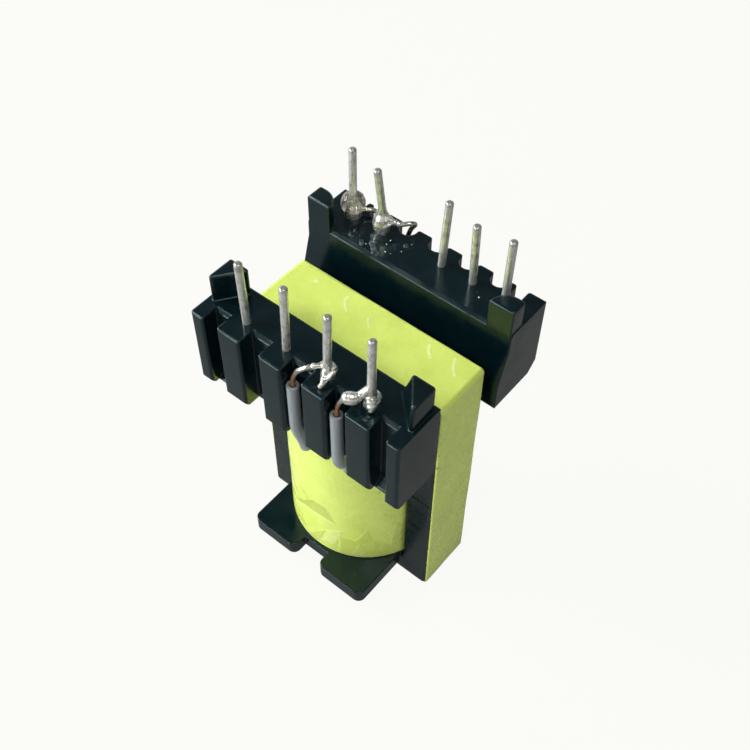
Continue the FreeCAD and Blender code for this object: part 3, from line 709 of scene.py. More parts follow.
def rounded_way(corners: tuple[Point, ...], steps: int = 10, trim_share: float = 0.45) -> np.ndarray:
    """Follow straight runs through corners with a round arc at each.

    Args:
        corners: The corners in millimetres.
        steps: How many points each arc has.
        trim_share: How much of the shorter run an arc takes.

    Returns:
        The points of the way.
    """
    spots = [np.array(corner, dtype=float) for corner in corners]
    way = [spots[0]]
    for before, corner, after in zip(spots, spots[1:], spots[2:]):
        trim = trim_share * min(np.linalg.norm(before - corner), np.linalg.norm(after - corner))
        back = (before - corner) / np.linalg.norm(before - corner)
        ahead = (after - corner) / np.linalg.norm(after - corner)
        half_turn = (math.pi - math.acos(np.clip(back @ ahead, -1, 1))) / 2
        radius = trim / math.tan(half_turn)
        inward = (back + ahead) / np.linalg.norm(back + ahead)
        centre = corner + inward * math.hypot(trim, radius)
        for step in range(steps + 1):
            share = step / steps
            spot = (back * (1 - share) + ahead * share) * trim + corner - centre
            way.append(centre + spot / np.linalg.norm(spot) * radius)
    way.append(spots[-1])
    return np.array(way)


# Trees of Geometry Nodes

class PieceTree:
    """Turns a bare mesh into a finished piece."""

    def __init__(self, name: str, inputs: dict[str, str], kinds: dict[str, str],
                 links: tuple[tuple[str, str | int, str, str | int], ...], finish: Material) -> None:
        """Build the tree, which ends by making instances real and setting the material.

        Args:
            name: The tree's name.
            inputs: The kind of value of each named input.
            kinds: The type of each node. Its first and last nodes are added to them.
            links: The node and the output that each link comes from, and the node and the input it goes to.
            finish: The material that the piece gets.
        """
        self.tree = bpy.data.node_groups.new(name, "GeometryNodeTree")
        face = self.tree.interface
        face.new_socket("Mesh", in_out="INPUT", socket_type="NodeSocketGeometry")
        self.inputs = {}
        for label, kind in inputs.items():
            socket = face.new_socket(label, in_out="INPUT", socket_type="NodeSocket" + kind)
            self.inputs[label] = socket.identifier
        face.new_socket("Piece", in_out="OUTPUT", socket_type="NodeSocketGeometry")
        ends = {"given": "NodeGroupInput", "real": "GeometryNodeRealizeInstances",
                "coat": "GeometryNodeSetMaterial", "out": "NodeGroupOutput"}
        self.nodes = {label: self.tree.nodes.new(kind) for label, kind in (kinds | ends).items()}
        self.nodes["coat"].inputs["Material"].default_value = finish
        last = (("real", "Geometry", "coat", "Geometry"), ("coat", "Geometry", "out", "Piece"))
        for source, output, target, entry in links + last:
            self.tree.links.new(self.nodes[source].outputs[output], self.nodes[target].inputs[entry])

    def run(self, name: str, mesh: bpy.types.Mesh, values: dict[str, float]) -> Piece:
        """Make one piece.

        Args:
            name: The piece's name.
            mesh: The mesh that the tree starts from.
            values: The value of each named input.

        Returns:
            The piece as a plain mesh.
        """
        piece = placed(name, mesh)
        step = piece.modifiers.new("tree", "NODES")
        step.node_group = self.tree
        for label, value in values.items():
            step[self.inputs[label]] = value
        settle(piece)
        return piece


class WireTree(PieceTree):
    """Sweeps a round section along the edges of a path."""

    def __init__(self, finish: Material) -> None:
        """Build the tree.

        Args:
            finish: The material that the wires get.
        """
        super().__init__("wire_along_path", {"Wire radius": "Float", "Sides": "Int"}, {
            "path": "GeometryNodeMeshToCurve", "section": "GeometryNodeCurvePrimitiveCircle",
            "sweep": "GeometryNodeCurveToMesh", "smooth": "GeometryNodeSetShadeSmooth",
        }, (
            ("given", "Mesh", "path", "Mesh"), ("given", "Wire radius", "section", "Radius"),
            ("given", "Sides", "section", "Resolution"), ("path", "Curve", "sweep", "Curve"),
            ("section", "Curve", "sweep", "Profile Curve"), ("sweep", "Mesh", "smooth", "Geometry"),
            ("smooth", "Geometry", "real", "Geometry"),
        ), finish)
        self.nodes["sweep"].inputs["Fill Caps"].default_value = True

    def draw(self, name: str, way: np.ndarray, radius_mm: float, sides: int = 16) -> Piece:
        """Make one wire.

        Args:
            name: The piece's name.
            way: The points that it goes through, in millimetres.
            radius_mm: Its radius.
            sides: How many sides its section has.

        Returns:
            The wire as a plain mesh.
        """
        path = bpy.data.meshes.new(name + "_path")
        path.from_pydata((way * MM).tolist(), [(i, i + 1) for i in range(len(way) - 1)], [])
        wire = self.run(name, path, {"Wire radius": radius_mm * MM, "Sides": sides})
        soften_shading(wire, 60.0)
        return wire


class SpatterTree(PieceTree):
    """Scatters small flat drops over the faces of a patch."""

    def __init__(self, finish: Material) -> None:
        """Build the tree. Its drops are half as high as they are wide.

        Args:
            finish: The material that the drops get.
        """
        super().__init__("drops_on_patch", {
            "Drops per area": "Float", "Smallest drop": "Float", "Largest drop": "Float", "Seed": "Int",
        }, {
            "points": "GeometryNodeDistributePointsOnFaces", "drop": "GeometryNodeMeshIcoSphere",
            "smooth": "GeometryNodeSetShadeSmooth", "size": "FunctionNodeRandomValue",
            "flat": "ShaderNodeMath", "shape": "ShaderNodeCombineXYZ",
            "place": "GeometryNodeInstanceOnPoints",
        }, (
            ("given", "Mesh", "points", "Mesh"), ("given", "Drops per area", "points", "Density"),
            ("given", "Seed", "points", "Seed"), ("given", "Seed", "size", "Seed"),
            ("given", "Smallest drop", "size", 2), ("given", "Largest drop", "size", 3),
            ("size", 1, "shape", "X"), ("size", 1, "shape", "Y"),
            ("size", 1, "flat", 0), ("flat", 0, "shape", "Z"),
            ("drop", "Mesh", "smooth", "Geometry"), ("smooth", "Geometry", "place", "Instance"),
            ("points", "Points", "place", "Points"), ("shape", "Vector", "place", "Scale"),
            ("place", "Instances", "real", "Geometry"),
        ), finish)
        self.nodes["drop"].inputs["Radius"].default_value = 1.0
        self.nodes["drop"].inputs["Subdivisions"].default_value = 2
        self.nodes["flat"].operation = "MULTIPLY"
        self.nodes["flat"].inputs[1].default_value = 0.5

    def scatter(self, name: str, corners_mm: list[Point], per_mm2: float, sizes_mm: tuple[float, float],
                seed: int) -> Piece:
        """Scatter drops over a flat patch.

        Args:
            name: The piece's name.
            corners_mm: The patch's corners.
            per_mm2: How many drops a square millimetre has.
            sizes_mm: The smallest and the largest drop's radius.
            seed: The seed of the random places.

        Returns:
            The drops as a plain mesh.
        """
        patch = bpy.data.meshes.new(name + "_patch")
        patch.from_pydata([[value * MM for value in corner] for corner in corners_mm], [],
                          [tuple(range(len(corners_mm)))])
        return self.run(name, patch, {
            "Drops per area": per_mm2 / (MM * MM), "Smallest drop": sizes_mm[0] * MM,
            "Largest drop": sizes_mm[1] * MM, "Seed": seed})


# Dressing

def dress(piece: Piece, material: Material, slot: Slot | None, *nodes: str) -> None:
    """Give a new piece its material and its place on the part, and hide the nodes that it stands for.

    Args:
        piece: The piece.
        material: Its material.
        slot: The record's slot, or None. It is not used.
        nodes: The nodes of the frame that it stands for.
    """
    piece.data.materials.clear()
    piece.data.materials.append(material)
    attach(piece, "root")
    if nodes:
        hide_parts(*nodes)
    LOG.info("%s: %d faces", piece.name, len(piece.data.polygons))


def dress_node(node: str, material: Material) -> None:
    """Give a node of the frame a material.

    Args:
        node: The node's name.
        material: Its material.
    """
    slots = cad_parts[node].data.materials
    slots.clear()
    slots.append(material)
    LOG.info("%s keeps its mesh", node)


# Sub-assemblies

@dataclass
class Core:
    """The two ferrite halves and the tape band round them."""

    ferrite: GroundFerrite = GroundFerrite()
    half_width: float = 12.95
    half_depth: float = 3.75
    height: float = 36.4
    corner: float = 0.6
    thickness: float = 0.2
    fine_step: float = 0.1
    wide_step: float = 0.5
    across_step: float = 0.125
    corner_steps: int = 8
    face_depth: float = 0.1
    rim: float = 0.14
    rim_drop: float = 0.6
    wave: float = 0.025
    mark_share: float = 0.5
    joint: float = 18.2
    leg_front: float = 4.0
    # The near-black joint beads are painted shade in the gap where the halves meet.
    shade_bead_radius: float = 0.11
    shade_bead_sides: int = 12
    near: float = 0.02
    top_marks: tuple[Mark, ...] = (
        Mark(((-4.95, 2.47), (-4.85, 1.95), (-4.61, 1.55), (-4.15, 1.1), (-3.63, 0.73)), 0.12, 0.03, 0.9),
        Mark(((-1.19, 1.58), (-0.8, 0.95), (-0.12, 0.44)), 0.11, 0.03, 0.8),
        Mark(((6.34, 2.69), (6.76, 1.92), (7.57, 1.22)), 0.12, 0.03, 0.9),
        Mark(((9.6, 2.9), (10.2, 1.7), (11.03, 0.85)), 0.12, 0.03, 0.9),
        Mark(((-9.3, 2.05), (-9.05, 1.98)), 0.28, 0.03, 0.7),
        # Painted shade line where the tape's upper turn steps down near the rear edge.
        Mark(((-11.5, 3.4), (-7.0, 3.52), (-2.9, 3.6)), 0.1, 0.0, 0.0, 0.5),
        Mark(((2.0, 2.1), (2.2, 2.0)), 0.12, 0.02, 0.5),
    )
    side_marks: tuple[Mark, ...] = (
        Mark(((26.2, -3.75), (26.2, -3.5)), 0.28, -0.04, 0.0, 0.85),
        Mark(((28.5, -3.6), (28.5, -3.4)), 0.18, -0.03, 0.0, 0.7),
        Mark(((7.8, -2.85), (7.2, -3.05)), 0.14, -0.03, 0.0, 0.9),
        # A dark line along the rear edge.
        Mark(((1.0, 3.66), (18.0, 3.64), (35.4, 3.68)), 0.12, 0.0, 0.0, 0.45),
        Mark(((20.0, 1.2), (20.6, 0.8)), 0.1, 0.0, 0.5),
    )

    def build(self, film: Material) -> None:
        """Dress the halves and remake the band with its marks.

        Args:
            film: The tape's material.
        """
        material = self.ferrite.material()
        for node in ("core_half_lower", "core_half_upper"):
            dress(merged_copy(node, node + "_ground"), material, Slot.FERRITE, node)
        dress(self.band(), film, Slot.TAPE, "core_tape_band")
        self.shade_joints()

    def shade_joints(self) -> None:
        """Lay a thin near-black bead on the joint of each leg, in front and behind, as painted shade in the
        joint.

        A bead goes from the leg's inner corner on the joint to its outer one, as the lower half has them.
        """
        finish = JointShadeBead().material()
        drawer = WireTree(finish)
        corners = np.array([point.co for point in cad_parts["core_half_lower"].data.vertices]) / MM
        on_joint = np.abs(corners[:, 2] - self.joint) < self.near
        on_face = np.abs(np.abs(corners[:, 1]) - self.leg_front) < self.near
        reach = np.abs(corners[on_joint & on_face][:, 0])
        for side, along in (("left", -1), ("right", 1)):
            for face, out in (("front", -1), ("rear", 1)):
                way = np.array([[along * x, out * self.leg_front, self.joint]
                                for x in (reach.min(), reach.max())])
                bead = drawer.draw("glue_{}_{}".format(face, side), way, self.shade_bead_radius, self.shade_bead_sides)
                dress(bead, finish, None)

    def way(self) -> tuple[np.ndarray, np.ndarray]:
        """Go once round the core.

        Returns:
            The points of the way in the plane of X and Z, and the outward direction at each.
        """
        spots: list[np.ndarray] = []
        outs: list[np.ndarray] = []
        flat_x = self.half_width - self.corner
        flat_z = self.height / 2 - self.corner
        sides = ((90, 2 * flat_x, self.fine_step), (0, 2 * flat_z, self.fine_step),
                 (-90, 2 * flat_x, self.wide_step), (-180, 2 * flat_z, self.wide_step))
        for angle, length, step in sides:
            out = np.array([math.cos(math.radians(angle)), math.sin(math.radians(angle))])
            run = np.array([out[1], -out[0]])
            reach = abs(out[0]) * self.half_width + abs(out[1]) * self.height / 2
            count = round(length / step)
            for number in range(count + 1):
                spots.append(out * reach + run * length * (number / count - 0.5))
                outs.append(out)
            centre = out * (reach - self.corner) + run * length / 2
            for number in range(1, self.corner_steps):
                turn = math.radians(angle - 90 * number / self.corner_steps)
                out = np.array([math.cos(turn), math.sin(turn)])
                spots.append(centre + out * self.corner)
                outs.append(out)
        return np.array(spots) + [0, self.height / 2], np.array(outs)

    def band(self) -> Piece:
        """Make the tape band as one closed mesh with its scratches, nicks and a painted shade line on top.

        Returns:
            The band.
        """
        spots, outs = self.way()
        across = np.arange(-self.half_depth, self.half_depth + 1e-6, self.across_step)
        edge = np.clip((self.rim - (self.half_depth - np.abs(across))) / self.rim, 0, 1)
        drop = self.rim * self.rim_drop * (1 - np.sqrt(1 - edge * edge))
        y = np.broadcast_to(across, (len(spots), len(across)))
        x = np.broadcast_to(spots[:, :1], y.shape)
        z = np.broadcast_to(spots[:, 1:], y.shape)
        top = mark_up(self.top_marks, x, y, z > self.height - self.face_depth)
        side = mark_up(self.side_marks, z, y, x > self.half_width - self.face_depth)
        rise, pale, dirt_and_shade = (first + second for first, second in zip(top, side))
        wave = self.wave * (np.sin(x * 0.7 + y * 0.5) * np.sin(z * 0.45 - y * 0.8) - 1)
        lift = rise * self.mark_share + wave - drop
        outer = np.stack([x + outs[:, :1] * lift, y, z + outs[:, 1:] * lift], -1)
        inner = spots - outs * self.thickness
        back = np.stack([inner[:, 0], np.full(len(spots), self.half_depth), inner[:, 1]], -1)[:, None]
        front = back * [1, -1, 1]
        return tape_piece("core_tape_turns", np.concatenate([outer, back, front], 1), pale, dirt_and_shade)


@dataclass
class Bobbin:
    """The black moulding with both pin rails."""

    plastic: MouldedPlastic = MouldedPlastic()

    def build(self) -> None:
        """Remake the moulding with joined faces."""
        moulding = merged_copy("bobbin", "bobbin_moulding")
        dress(moulding, self.plastic.material(), Slot.PLASTIC, "bobbin")


@dataclass
class Winding:
    """The wound layers on the bobbin and their outer tape."""

    wire: WindingWire = WindingWire()
    radius: float = 9.75
    inner_radius: float = 9.4
    bottom: float = 4.3
    top: float = 30.3
    fine_step: float = 0.1
    wide_step: float = 0.5
    front_deg: tuple[float, float] = (-135.0, -15.0)
    fine_to: float = 17.0
    upper_rows: int = 40
    wave: float = 0.03
    slack: float = 0.05
    mark_share: float = 0.6
    marks: tuple[Mark, ...] = (
        # Painted shade in a crease, with a dent.
        Mark(((-109, 13.6), (-104, 13.4), (-98.5, 12.8)), 0.24, -0.07, 0.0, 0.7),
        # Painted shade inside the lens-shaped fold and along its lower edge, with a dent.
        Mark(((-118.9, 8.5), (-102, 10.6), (-86.4, 11.3), (-73.6, 11.0), (-81, 13.6), (-93.5, 13.35)),
             0.2, -0.1, 0.0, 0.34, True),
        Mark(((-118.9, 8.5), (-102, 10.6), (-86.4, 11.3), (-73.6, 11.0)), 0.16, -0.05, 0.0, 0.55),
        # Painted highlight on the ridge below the fold.
        Mark(((-118.9, 8.2), (-102, 10.3), (-86.4, 11.0), (-74.5, 10.7)), 0.18, 0.05, 0.3),
        # Painted shade along a low dent.
        Mark(((-122.8, 6.2), (-104.3, 5.7)), 0.25, -0.03, 0.0, 0.45),
        # Painted shade on a sloping triangle, and a painted highlight on the lighter patch beside it.
        Mark(((-101.8, 4.6), (-81.9, 8.6), (-90.3, 4.6)), 0.12, 0.06, 0.0, 0.2, True),
        Mark(((-81.9, 8.6), (-68.8, 9.7), (-74.8, 5.7), (-84.6, 5.7)), 0.12, 0.05, 0.18, 0.0, True),
        # Painted shade where the tape ends overlap, with a painted highlight on a patch inside them.
        Mark(((-70.7, 8.7), (-59.5, 8.1), (-50.4, 10.8), (-47.1, 8.6), (-33.3, 6.5), (-29.5, 11.3),
              (-24, 11.0), (-24, 4.5), (-71.5, 4.5)), 0.12, 0.08, 0.0, 0.16, True),
        Mark(((-62, 4.6), (-56, 7.4), (-49, 4.6)), 0.12, 0.05, 0.1, 0.0, True),
        Mark(((-42.3, 19.1), (-42.0, 19.0)), 0.2, 0.0, 0.0, 0.6),
        Mark(((-37.5, 14.1), (-37.2, 14.0)), 0.16, 0.0, 0.0, 0.6),
        Mark(((-60, 15.8), (-59.7, 15.7)), 0.14, 0.0, 0.0, 0.5),
        # Painted highlight along the tape's bottom edge.
        Mark(((-135, 4.42), (-75, 4.42), (-15, 4.42)), 0.2, 0.0, 0.5),
    )

    def build(self, film: Material) -> None:
        """Dress the layers and remake the outer tape with its folds.

        Args:
            film: The tape's material.
        """
        copper = self.wire.material()
        for node in ("inner_primary_winding", "secondary_winding", "outer_primary_winding"):
            dress_node(node, copper)
        for node in ("inner_insulation_tape", "middle_insulation_tape"):
            dress_node(node, film)
        dress(self.turns(), film, Slot.TAPE, "outer_insulation_tape")

    def turns(self) -> Piece:
        """Make the outer tape as one closed mesh, fine where its folds are.

        Returns:
            The tape.
        """
        start, end = self.front_deg
        fine = math.degrees(self.fine_step / self.radius)
        wide = math.degrees(self.wide_step / self.radius)
        angles = np.concatenate([np.arange(start, end, fine), np.arange(end, start + 360, wide)])
        levels = np.concatenate([np.arange(self.bottom, self.fine_to, self.fine_step),
                                 np.linspace(self.fine_to, self.top, self.upper_rows)])
        z, turn = np.meshgrid(levels, angles)
        scale = math.radians(1) * self.radius
        marks = tuple(replace(mark, points=tuple((angle * scale, level) for angle, level in mark.points))
                      for mark in self.marks)
        rise, pale, dirt_and_shade = mark_up(marks, turn * scale, z, turn < end)
        spin = np.radians(turn)
        wave = self.wave * (np.sin(3 * spin + z * 0.35) * np.sin(2 * spin - z * 0.22 + 1) - 1)
        reach = self.radius + rise * self.mark_share - self.slack + wave
        outer = np.stack([np.cos(spin) * reach, np.sin(spin) * reach, z], -1)
        around = np.radians(angles)
        inner = np.stack([np.cos(around) * self.inner_radius, np.sin(around) * self.inner_radius,
                          np.full(len(angles), self.top)], -1)[:, None]
        low = inner * [1, 1, self.bottom / self.top]
        return tape_piece("outer_tape_turns", np.concatenate([outer, inner, low], 1), pale, dirt_and_shade)


@dataclass
class Pins:
    """The nine pins."""

    tin: TinPlate = TinPlate()

    def build(self) -> None:
        """Dress every pin."""
        material = self.tin.material()
        for node in sorted(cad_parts):
            if "_pin_" in node:
                dress(merged_copy(node, node + "_tinned", 50.0), material, Slot.PIN, node)


@dataclass
class Leads:
    """The four lead wires with their sleeves, and where each wire runs, in millimetres."""

    wire: LeadWire = LeadWire()
    rear_wire: LeadWire = LeadWire("tinned_lead", tin_from_mm=38.3, tin_to_mm=39.0)
    tube: SleeveTube = SleeveTube()
    wire_radius: float = 0.28
    ways: tuple[tuple[str, tuple[Point, ...]], ...] = (
        ("front_lead_3", (
            (-0.1, -10.5, 26.3), (-0.1, -10.75, 27.6), (-0.55, -11.35, 30.1), (-0.55, -11.35, 37.5),
            (-0.35, -11.45, 39.0), (0.4, -11.5, 40.7), (1.4, -10.95, 41.5), (2.05, -10.1, 41.4),
            (2.1, -8.9, 41.1), (3.5, -8.9, 41.0), (3.5, -10.2, 40.9), (3.3, -11.5, 40.35))),
        ("front_lead_4", (
            (5.0, -9.233, 25.2), (5.0, -9.483, 26.5), (5.35, -11.35, 29.0), (5.35, -11.35, 37.5),
            (5.55, -11.45, 39.0), (6.1, -11.55, 40.6), (7.1, -11.15, 41.4), (7.65, -10.1, 41.5),
            (7.7, -8.9, 41.3), (9.1, -8.9, 41.1), (9.15, -10.1, 40.9), (9.1, -10.6, 40.4))),
        ("rear_lead_1", (
            (-6.2, 8.474, 23.4), (-6.2, 8.724, 24.7), (-8.4, 12.0, 27.8), (-8.4, 12.0, 38.6),
            (-8.5, 11.9, 40.4), (-9.0, 11.3, 40.75), (-9.8, 10.8, 40.6), (-11.2, 10.8, 40.55),
            (-11.2, 9.4, 40.5), (-10.3, 9.35, 40.45))),
        ("rear_lead_2", (
            (-4.1, 9.666, 23.4), (-4.1, 9.916, 24.7), (-4.2, 12.0, 27.8), (-4.2, 12.0, 38.6),
            (-3.8, 12.2, 40.3), (-3.1, 12.25, 41.4), (-3.6, 11.45, 41.7), (-4.4, 11.0, 41.35),
            (-5.2, 10.7, 41.6), (-5.55, 9.35, 41.3), (-7.0, 9.4, 41.1), (-7.0, 10.8, 41.1),
            (-6.5, 10.85, 41.1))),
    )

    def build(self) -> None:
        """Draw every wire along its way and dress the sleeves."""
        finishes = {"front": self.wire.material(), "rear": self.rear_wire.material()}
        drawers = {row: WireTree(finish) for row, finish in finishes.items()}
        clear = self.tube.material()
        for lead, corners in self.ways:
            row = lead.split("_")[0]
            wire = drawers[row].draw(lead + "_bare", rounded_way(corners), self.wire_radius)
            dress(wire, finishes[row], Slot.WIRE, lead + "_wire")
            sleeve = merged_copy(lead + "_sleeve", lead + "_tube", 40.0)
            dress(sleeve, clear, Slot.SLEEVE, lead + "_sleeve")


@dataclass(frozen=True)
class Joint:
    """One solder joint, in millimetres.

    The stack has the height above the deck and the radius of each lump on the pin. The coat has the
    corner from which the solder follows the wire, and its radius there.
    """

    node: str
    place: tuple[float, float]
    coat: tuple[int, float]
    stack: tuple[tuple[float, float], ...]
    drops: tuple[Lump, ...] = ()


@dataclass
class Solder:
    """The solder on four pins, the resin round one of them and the spatter beside them, in millimetres."""

    leads: Leads
    metal: BrightSolder = BrightSolder()
    resin: FluxResin = FluxResin()
    flux: DriedFlux = DriedFlux()
    deck: float = 40.0
    voxel: float = 0.07
    ball_voxel_share: float = 1.5
    coat_step: float = 0.18
    streak_height: float = 0.25
    drop_sizes: tuple[float, float] = (0.03, 0.11)
    drop_lift: float = 0.01
    joints: tuple[Joint, ...] = (
        Joint("front_solder_3", (2.8, -9.6), (7, 0.31), (
            (0.1, 0.82), (0.5, 0.78), (0.9, 0.72), (1.3, 0.64), (1.7, 0.56), (2.1, 0.5)), (
            (3.25, -9.3, 41.35, 0.42), (2.95, -10.1, 41.0, 0.5), (3.2, -10.7, 40.75, 0.4),
            (1.75, -10.5, 41.5, 0.4))),
        Joint("front_solder_4", (8.4, -9.6), (7, 0.31), (
            (0.1, 0.85), (0.5, 0.8), (0.9, 0.76), (1.3, 0.7), (1.7, 0.64), (2.1, 0.58), (2.5, 0.52),
            (2.8, 0.48)), (
            (6.85, -11.3, 41.4, 0.72), (7.15, -11.15, 41.45, 0.76), (7.4, -10.95, 41.45, 0.68),
            (7.6, -10.6, 41.55, 0.52), (7.8, -10.25, 41.75, 0.5), (7.95, -10.0, 42.0, 0.5),
            (8.15, -9.8, 42.3, 0.5), (8.7, -9.95, 41.15, 0.66), (8.9, -10.2, 40.75, 0.58))),
        Joint("rear_solder_1", (-10.5, 10.1), (6, 0.3), (
            (0.2, 1.12), (0.5, 1.1), (0.8, 0.98), (1.1, 0.84), (1.4, 0.72), (1.7, 0.63), (2.0, 0.56),
            (2.4, 0.5))),
        Joint("rear_solder_2", (-6.3, 10.1), (7, 0.33), (
            (0.3, 0.92), (0.8, 1.08), (1.3, 1.14), (1.7, 1.05), (2.0, 0.9), (2.3, 0.76), (2.6, 0.66),
            (2.9, 0.58), (3.2, 0.53), (3.5, 0.48)), (
            (-5.75, 10.3, 42.2, 0.4), (-5.45, 10.5, 41.9, 0.4), (-5.0, 10.75, 41.55, 0.38),
            (-4.6, 10.95, 41.4, 0.36))),
    )
    ball: tuple[Lump, ...] = ((-10.5, 10.1, 41.8, 1.52),)
    streak: tuple[Lump, ...] = (
        (-6.4, 8.9, 40.0, 0.5), (-6.1, 8.4, 40.0, 0.42), (-5.8, 7.9, 40.0, 0.5), (-5.3, 7.4, 40.0, 0.4),
        (-4.8, 7.0, 40.0, 0.45), (-4.3, 6.9, 40.0, 0.3), (-7.0, 7.3, 40.0, 0.35), (-6.7, 7.0, 40.0, 0.3),
        (-2.7, 9.9, 40.0, 0.35))
    patches: tuple[tuple[str, tuple[float, float], tuple[float, float], float, int], ...] = (
        ("rear_spatter_left", (-8.6, -3.0), (6.9, 9.0), 0.7, 3),
        ("rear_spatter_middle", (-4.6, -1.9), (8.4, 10.8), 0.6, 8),
        ("rear_spatter_right", (6.6, 9.8), (8.4, 10.4), 0.5, 5),
    )

    def build(self) -> None:
        """Melt every joint, set the resin ball and scatter the spatter."""
        bright = self.metal.material()
        clear = self.resin.material()
        for joint in self.joints:
            x, y = joint.place
            lumps = [(x, y, self.deck + up, radius) for up, radius in joint.stack]
            lumps += joint.drops
            lumps += self.along_wire(joint)
            dress(fused(joint.node + "_set", lumps, self.voxel, self.deck), bright, Slot.SOLDER, joint.node)
        ball = fused("rear_resin_ball", self.ball, self.voxel * self.ball_voxel_share, self.deck)
        dress(ball, clear, None)
        streak = fused("rear_flux_streaks", self.streak, self.voxel, self.deck, self.streak_height)
        dress(streak, self.flux.material(), None)
        spatter = SpatterTree(bright)
        level = self.deck + self.drop_lift
        for name, (left, right), (front, rear), per_mm2, seed in self.patches:
            corners = [(x, y, level) for x, y in (
                (left, front), (right, front), (right, rear), (left, rear))]
            dress(spatter.scatter(name, corners, per_mm2, self.drop_sizes, seed), bright, Slot.SOLDER)

    def along_wire(self, joint: Joint) -> list[Lump]:
        """Coat the last stretch of a joint's wire with solder.

        Args:
            joint: The joint.

        Returns:
            The lumps that follow the wire.
        """
        first, radius = joint.coat
        corners = dict(self.leads.ways)[joint.node.replace("solder", "lead")]
        way = rounded_way(corners[first:], 6)
        lumps = []
        for start, end in zip(way, way[1:]):
            count = max(1, math.ceil(float(np.linalg.norm(end - start)) / self.coat_step))
            for step in range(count):
                x, y, z = start + (end - start) * step / count
                lumps.append((float(x), float(y), float(z), radius))
        return lumps


# Studio

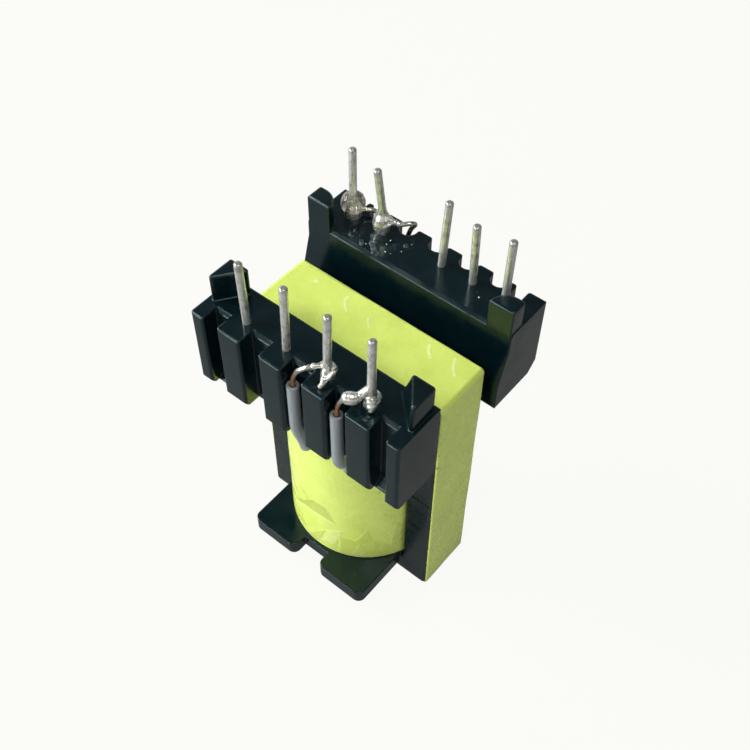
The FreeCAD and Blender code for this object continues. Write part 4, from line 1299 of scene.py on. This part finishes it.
@dataclass
class Studio:
    """A plain pale floor, soft lamps and the camera at the photograph's angle."""

    focal_px: float = 1049.6
    picture_px: float = 750.0
    centre_px: tuple[float, float] = (372.9, 376.2)
    azimuth_deg: float = 39.01
    elevation_deg: float = 51.03
    roll_deg: float = 0.55
    place_mm: Point = (47.743, -57.968, 121.419)
    sensor_mm: float = 36.0
    clip: tuple[float, float] = (0.001, 10.0)
    floor_colour: Colour = screen(252, 252, 249)
    floor_reach: float = 3.0
    floor_gap: float = 0.02
    floor_seen: float = 0.96
    floor_shade: Colour = screen(205, 205, 202)
    floor_mirrored: float = 0.8
    floor_mirror_level: float = 0.22
    room_levels: tuple[float, ...] = (0.0, 0.8, 0.95, 0.16)
    bright_side: Point = (-0.8, -0.6, 0.0)
    side_levels: tuple[float, ...] = (-1.0, 1.0, 0.45, 1.15)
    lamps: tuple[tuple[str, Point, float], ...] = (
        ("main_lamp", (-345, -180, 285), 2.6), ("front_lamp", (-180, -410, 55), 1.1),
        ("top_lamp", (120, -60, 440), 0.65))
    lamp_side: float = 200
    lamp_aim: float = 25

    def build(self) -> None:
        """Set up the floor, the world, the lamps and the camera."""
        self.make_floor()
        self.make_world()
        self.make_lamps()
        self.make_camera()
        bpy.context.scene.view_settings.view_transform = "Standard"

    def make_floor(self) -> None:
        """Lay a wide pale floor that keeps a faint shadow."""
        bpy.ops.mesh.primitive_plane_add(size=self.floor_reach, location=(0, 0, -self.floor_gap * MM))
        floor = bpy.context.active_object
        floor.name = "floor"
        bench = ShaderBench("pale_floor")
        bench.set(Base_Color=self.floor_shade, Roughness=0.9, Specular_IOR_Level=0.1)
        path = bench.tree.nodes.new("ShaderNodeLightPath").outputs
        seen = bench.reckon("MAXIMUM", path["Is Camera Ray"], path["Is Transmission Ray"])
        mirrored = bench.reckon("MULTIPLY", path["Is Glossy Ray"], self.floor_mirrored)
        share = bench.reckon("MAXIMUM", bench.reckon("MULTIPLY", seen, self.floor_seen), mirrored)
        strength = bench.span(path["Is Glossy Ray"], 0.0, 1.0, 1.0, self.floor_mirror_level)
        glow = bench.fed("ShaderNodeEmission", 0, {"Color": self.floor_colour, "Strength": strength})
        mixed = bench.fed("ShaderNodeMixShader", 0, {0: share, 1: bench.shader.outputs[0], 2: glow})
        bench.join(mixed, bench.tree.nodes["Material Output"].inputs["Surface"])
        floor.data.materials.append(bench.material)

    def make_world(self) -> None:
        """Light the room, bright near the horizon, dim overhead and white where the camera sees it."""
        world = bpy.data.worlds.new("studio")
        world.use_nodes = True
        bpy.context.scene.world = world
        bench = NodeBench(world.node_tree)
        light = world.node_tree.nodes["Background"].inputs
        bench.join(self.floor_colour, light["Color"])
        place = bench.fed("ShaderNodeTexCoord", "Generated", {})
        room = bench.span(bench.fed("ShaderNodeSeparateXYZ", "Z", {0: place}), *self.room_levels)
        facing = bench.fed("ShaderNodeVectorMath", "Value", {0: place, 1: self.bright_side},
                           operation="DOT_PRODUCT")
        lit = bench.reckon("MULTIPLY", room, bench.span(facing, *self.side_levels))
        seen = bench.fed("ShaderNodeLightPath", "Is Camera Ray", {})
        level = bench.fed("ShaderNodeMapRange", "Result", {"Value": seen, "To Min": lit, "To Max": 1.0})
        bench.join(level, light["Strength"])

    def make_lamps(self) -> None:
        """Hang the soft square lamps, each turned to the part."""
        for name, place, watts in self.lamps:
            data = bpy.data.lights.new(name, "AREA")
            data.shape = "SQUARE"
            data.size = self.lamp_side * MM
            data.energy = watts
            lamp = placed(name, data)
            lamp.location = Vector(place) * MM
            aim = Vector((0, 0, self.lamp_aim * MM)) - lamp.location
            lamp.rotation_euler = aim.to_track_quat("-Z", "Y").to_euler()

    def make_camera(self) -> None:
        """Place the camera where the photograph was taken from."""
        azimuth, elevation, roll = (
            math.radians(angle) for angle in (self.azimuth_deg, self.elevation_deg, self.roll_deg))
        back = Vector((math.sin(azimuth) * math.cos(elevation), -math.cos(azimuth) * math.cos(elevation),
                       math.sin(elevation)))
        right = Vector((math.cos(azimuth), math.sin(azimuth), 0))
        up = back.cross(right)
        across = right * math.cos(roll) + up * math.sin(roll)
        upward = up * math.cos(roll) - right * math.sin(roll)
        data = bpy.data.cameras.new("camera")
        data.sensor_width = self.sensor_mm
        data.lens = self.focal_px / self.picture_px * self.sensor_mm
        data.shift_x = (self.picture_px / 2 - self.centre_px[0]) / self.picture_px
        data.shift_y = (self.centre_px[1] - self.picture_px / 2) / self.picture_px
        data.clip_start, data.clip_end = self.clip
        camera = placed("camera", data)
        turn = Matrix((across, upward, back)).transposed()
        camera.matrix_world = Matrix.Translation(Vector(self.place_mm) * MM) @ turn.to_4x4()
        bpy.context.scene.camera = camera


def main() -> None:
    """Build every sub-assembly and the studio."""
    logging.basicConfig(level=logging.INFO, format="%(name)s %(message)s")
    film = TapeFilm().material()
    Core().build(film)
    Bobbin().build()
    Winding().build(film)
    Pins().build()
    leads = Leads()
    leads.build()
    Solder(leads).build()
    Studio().build()


if __name__ == "__main__":
    main()
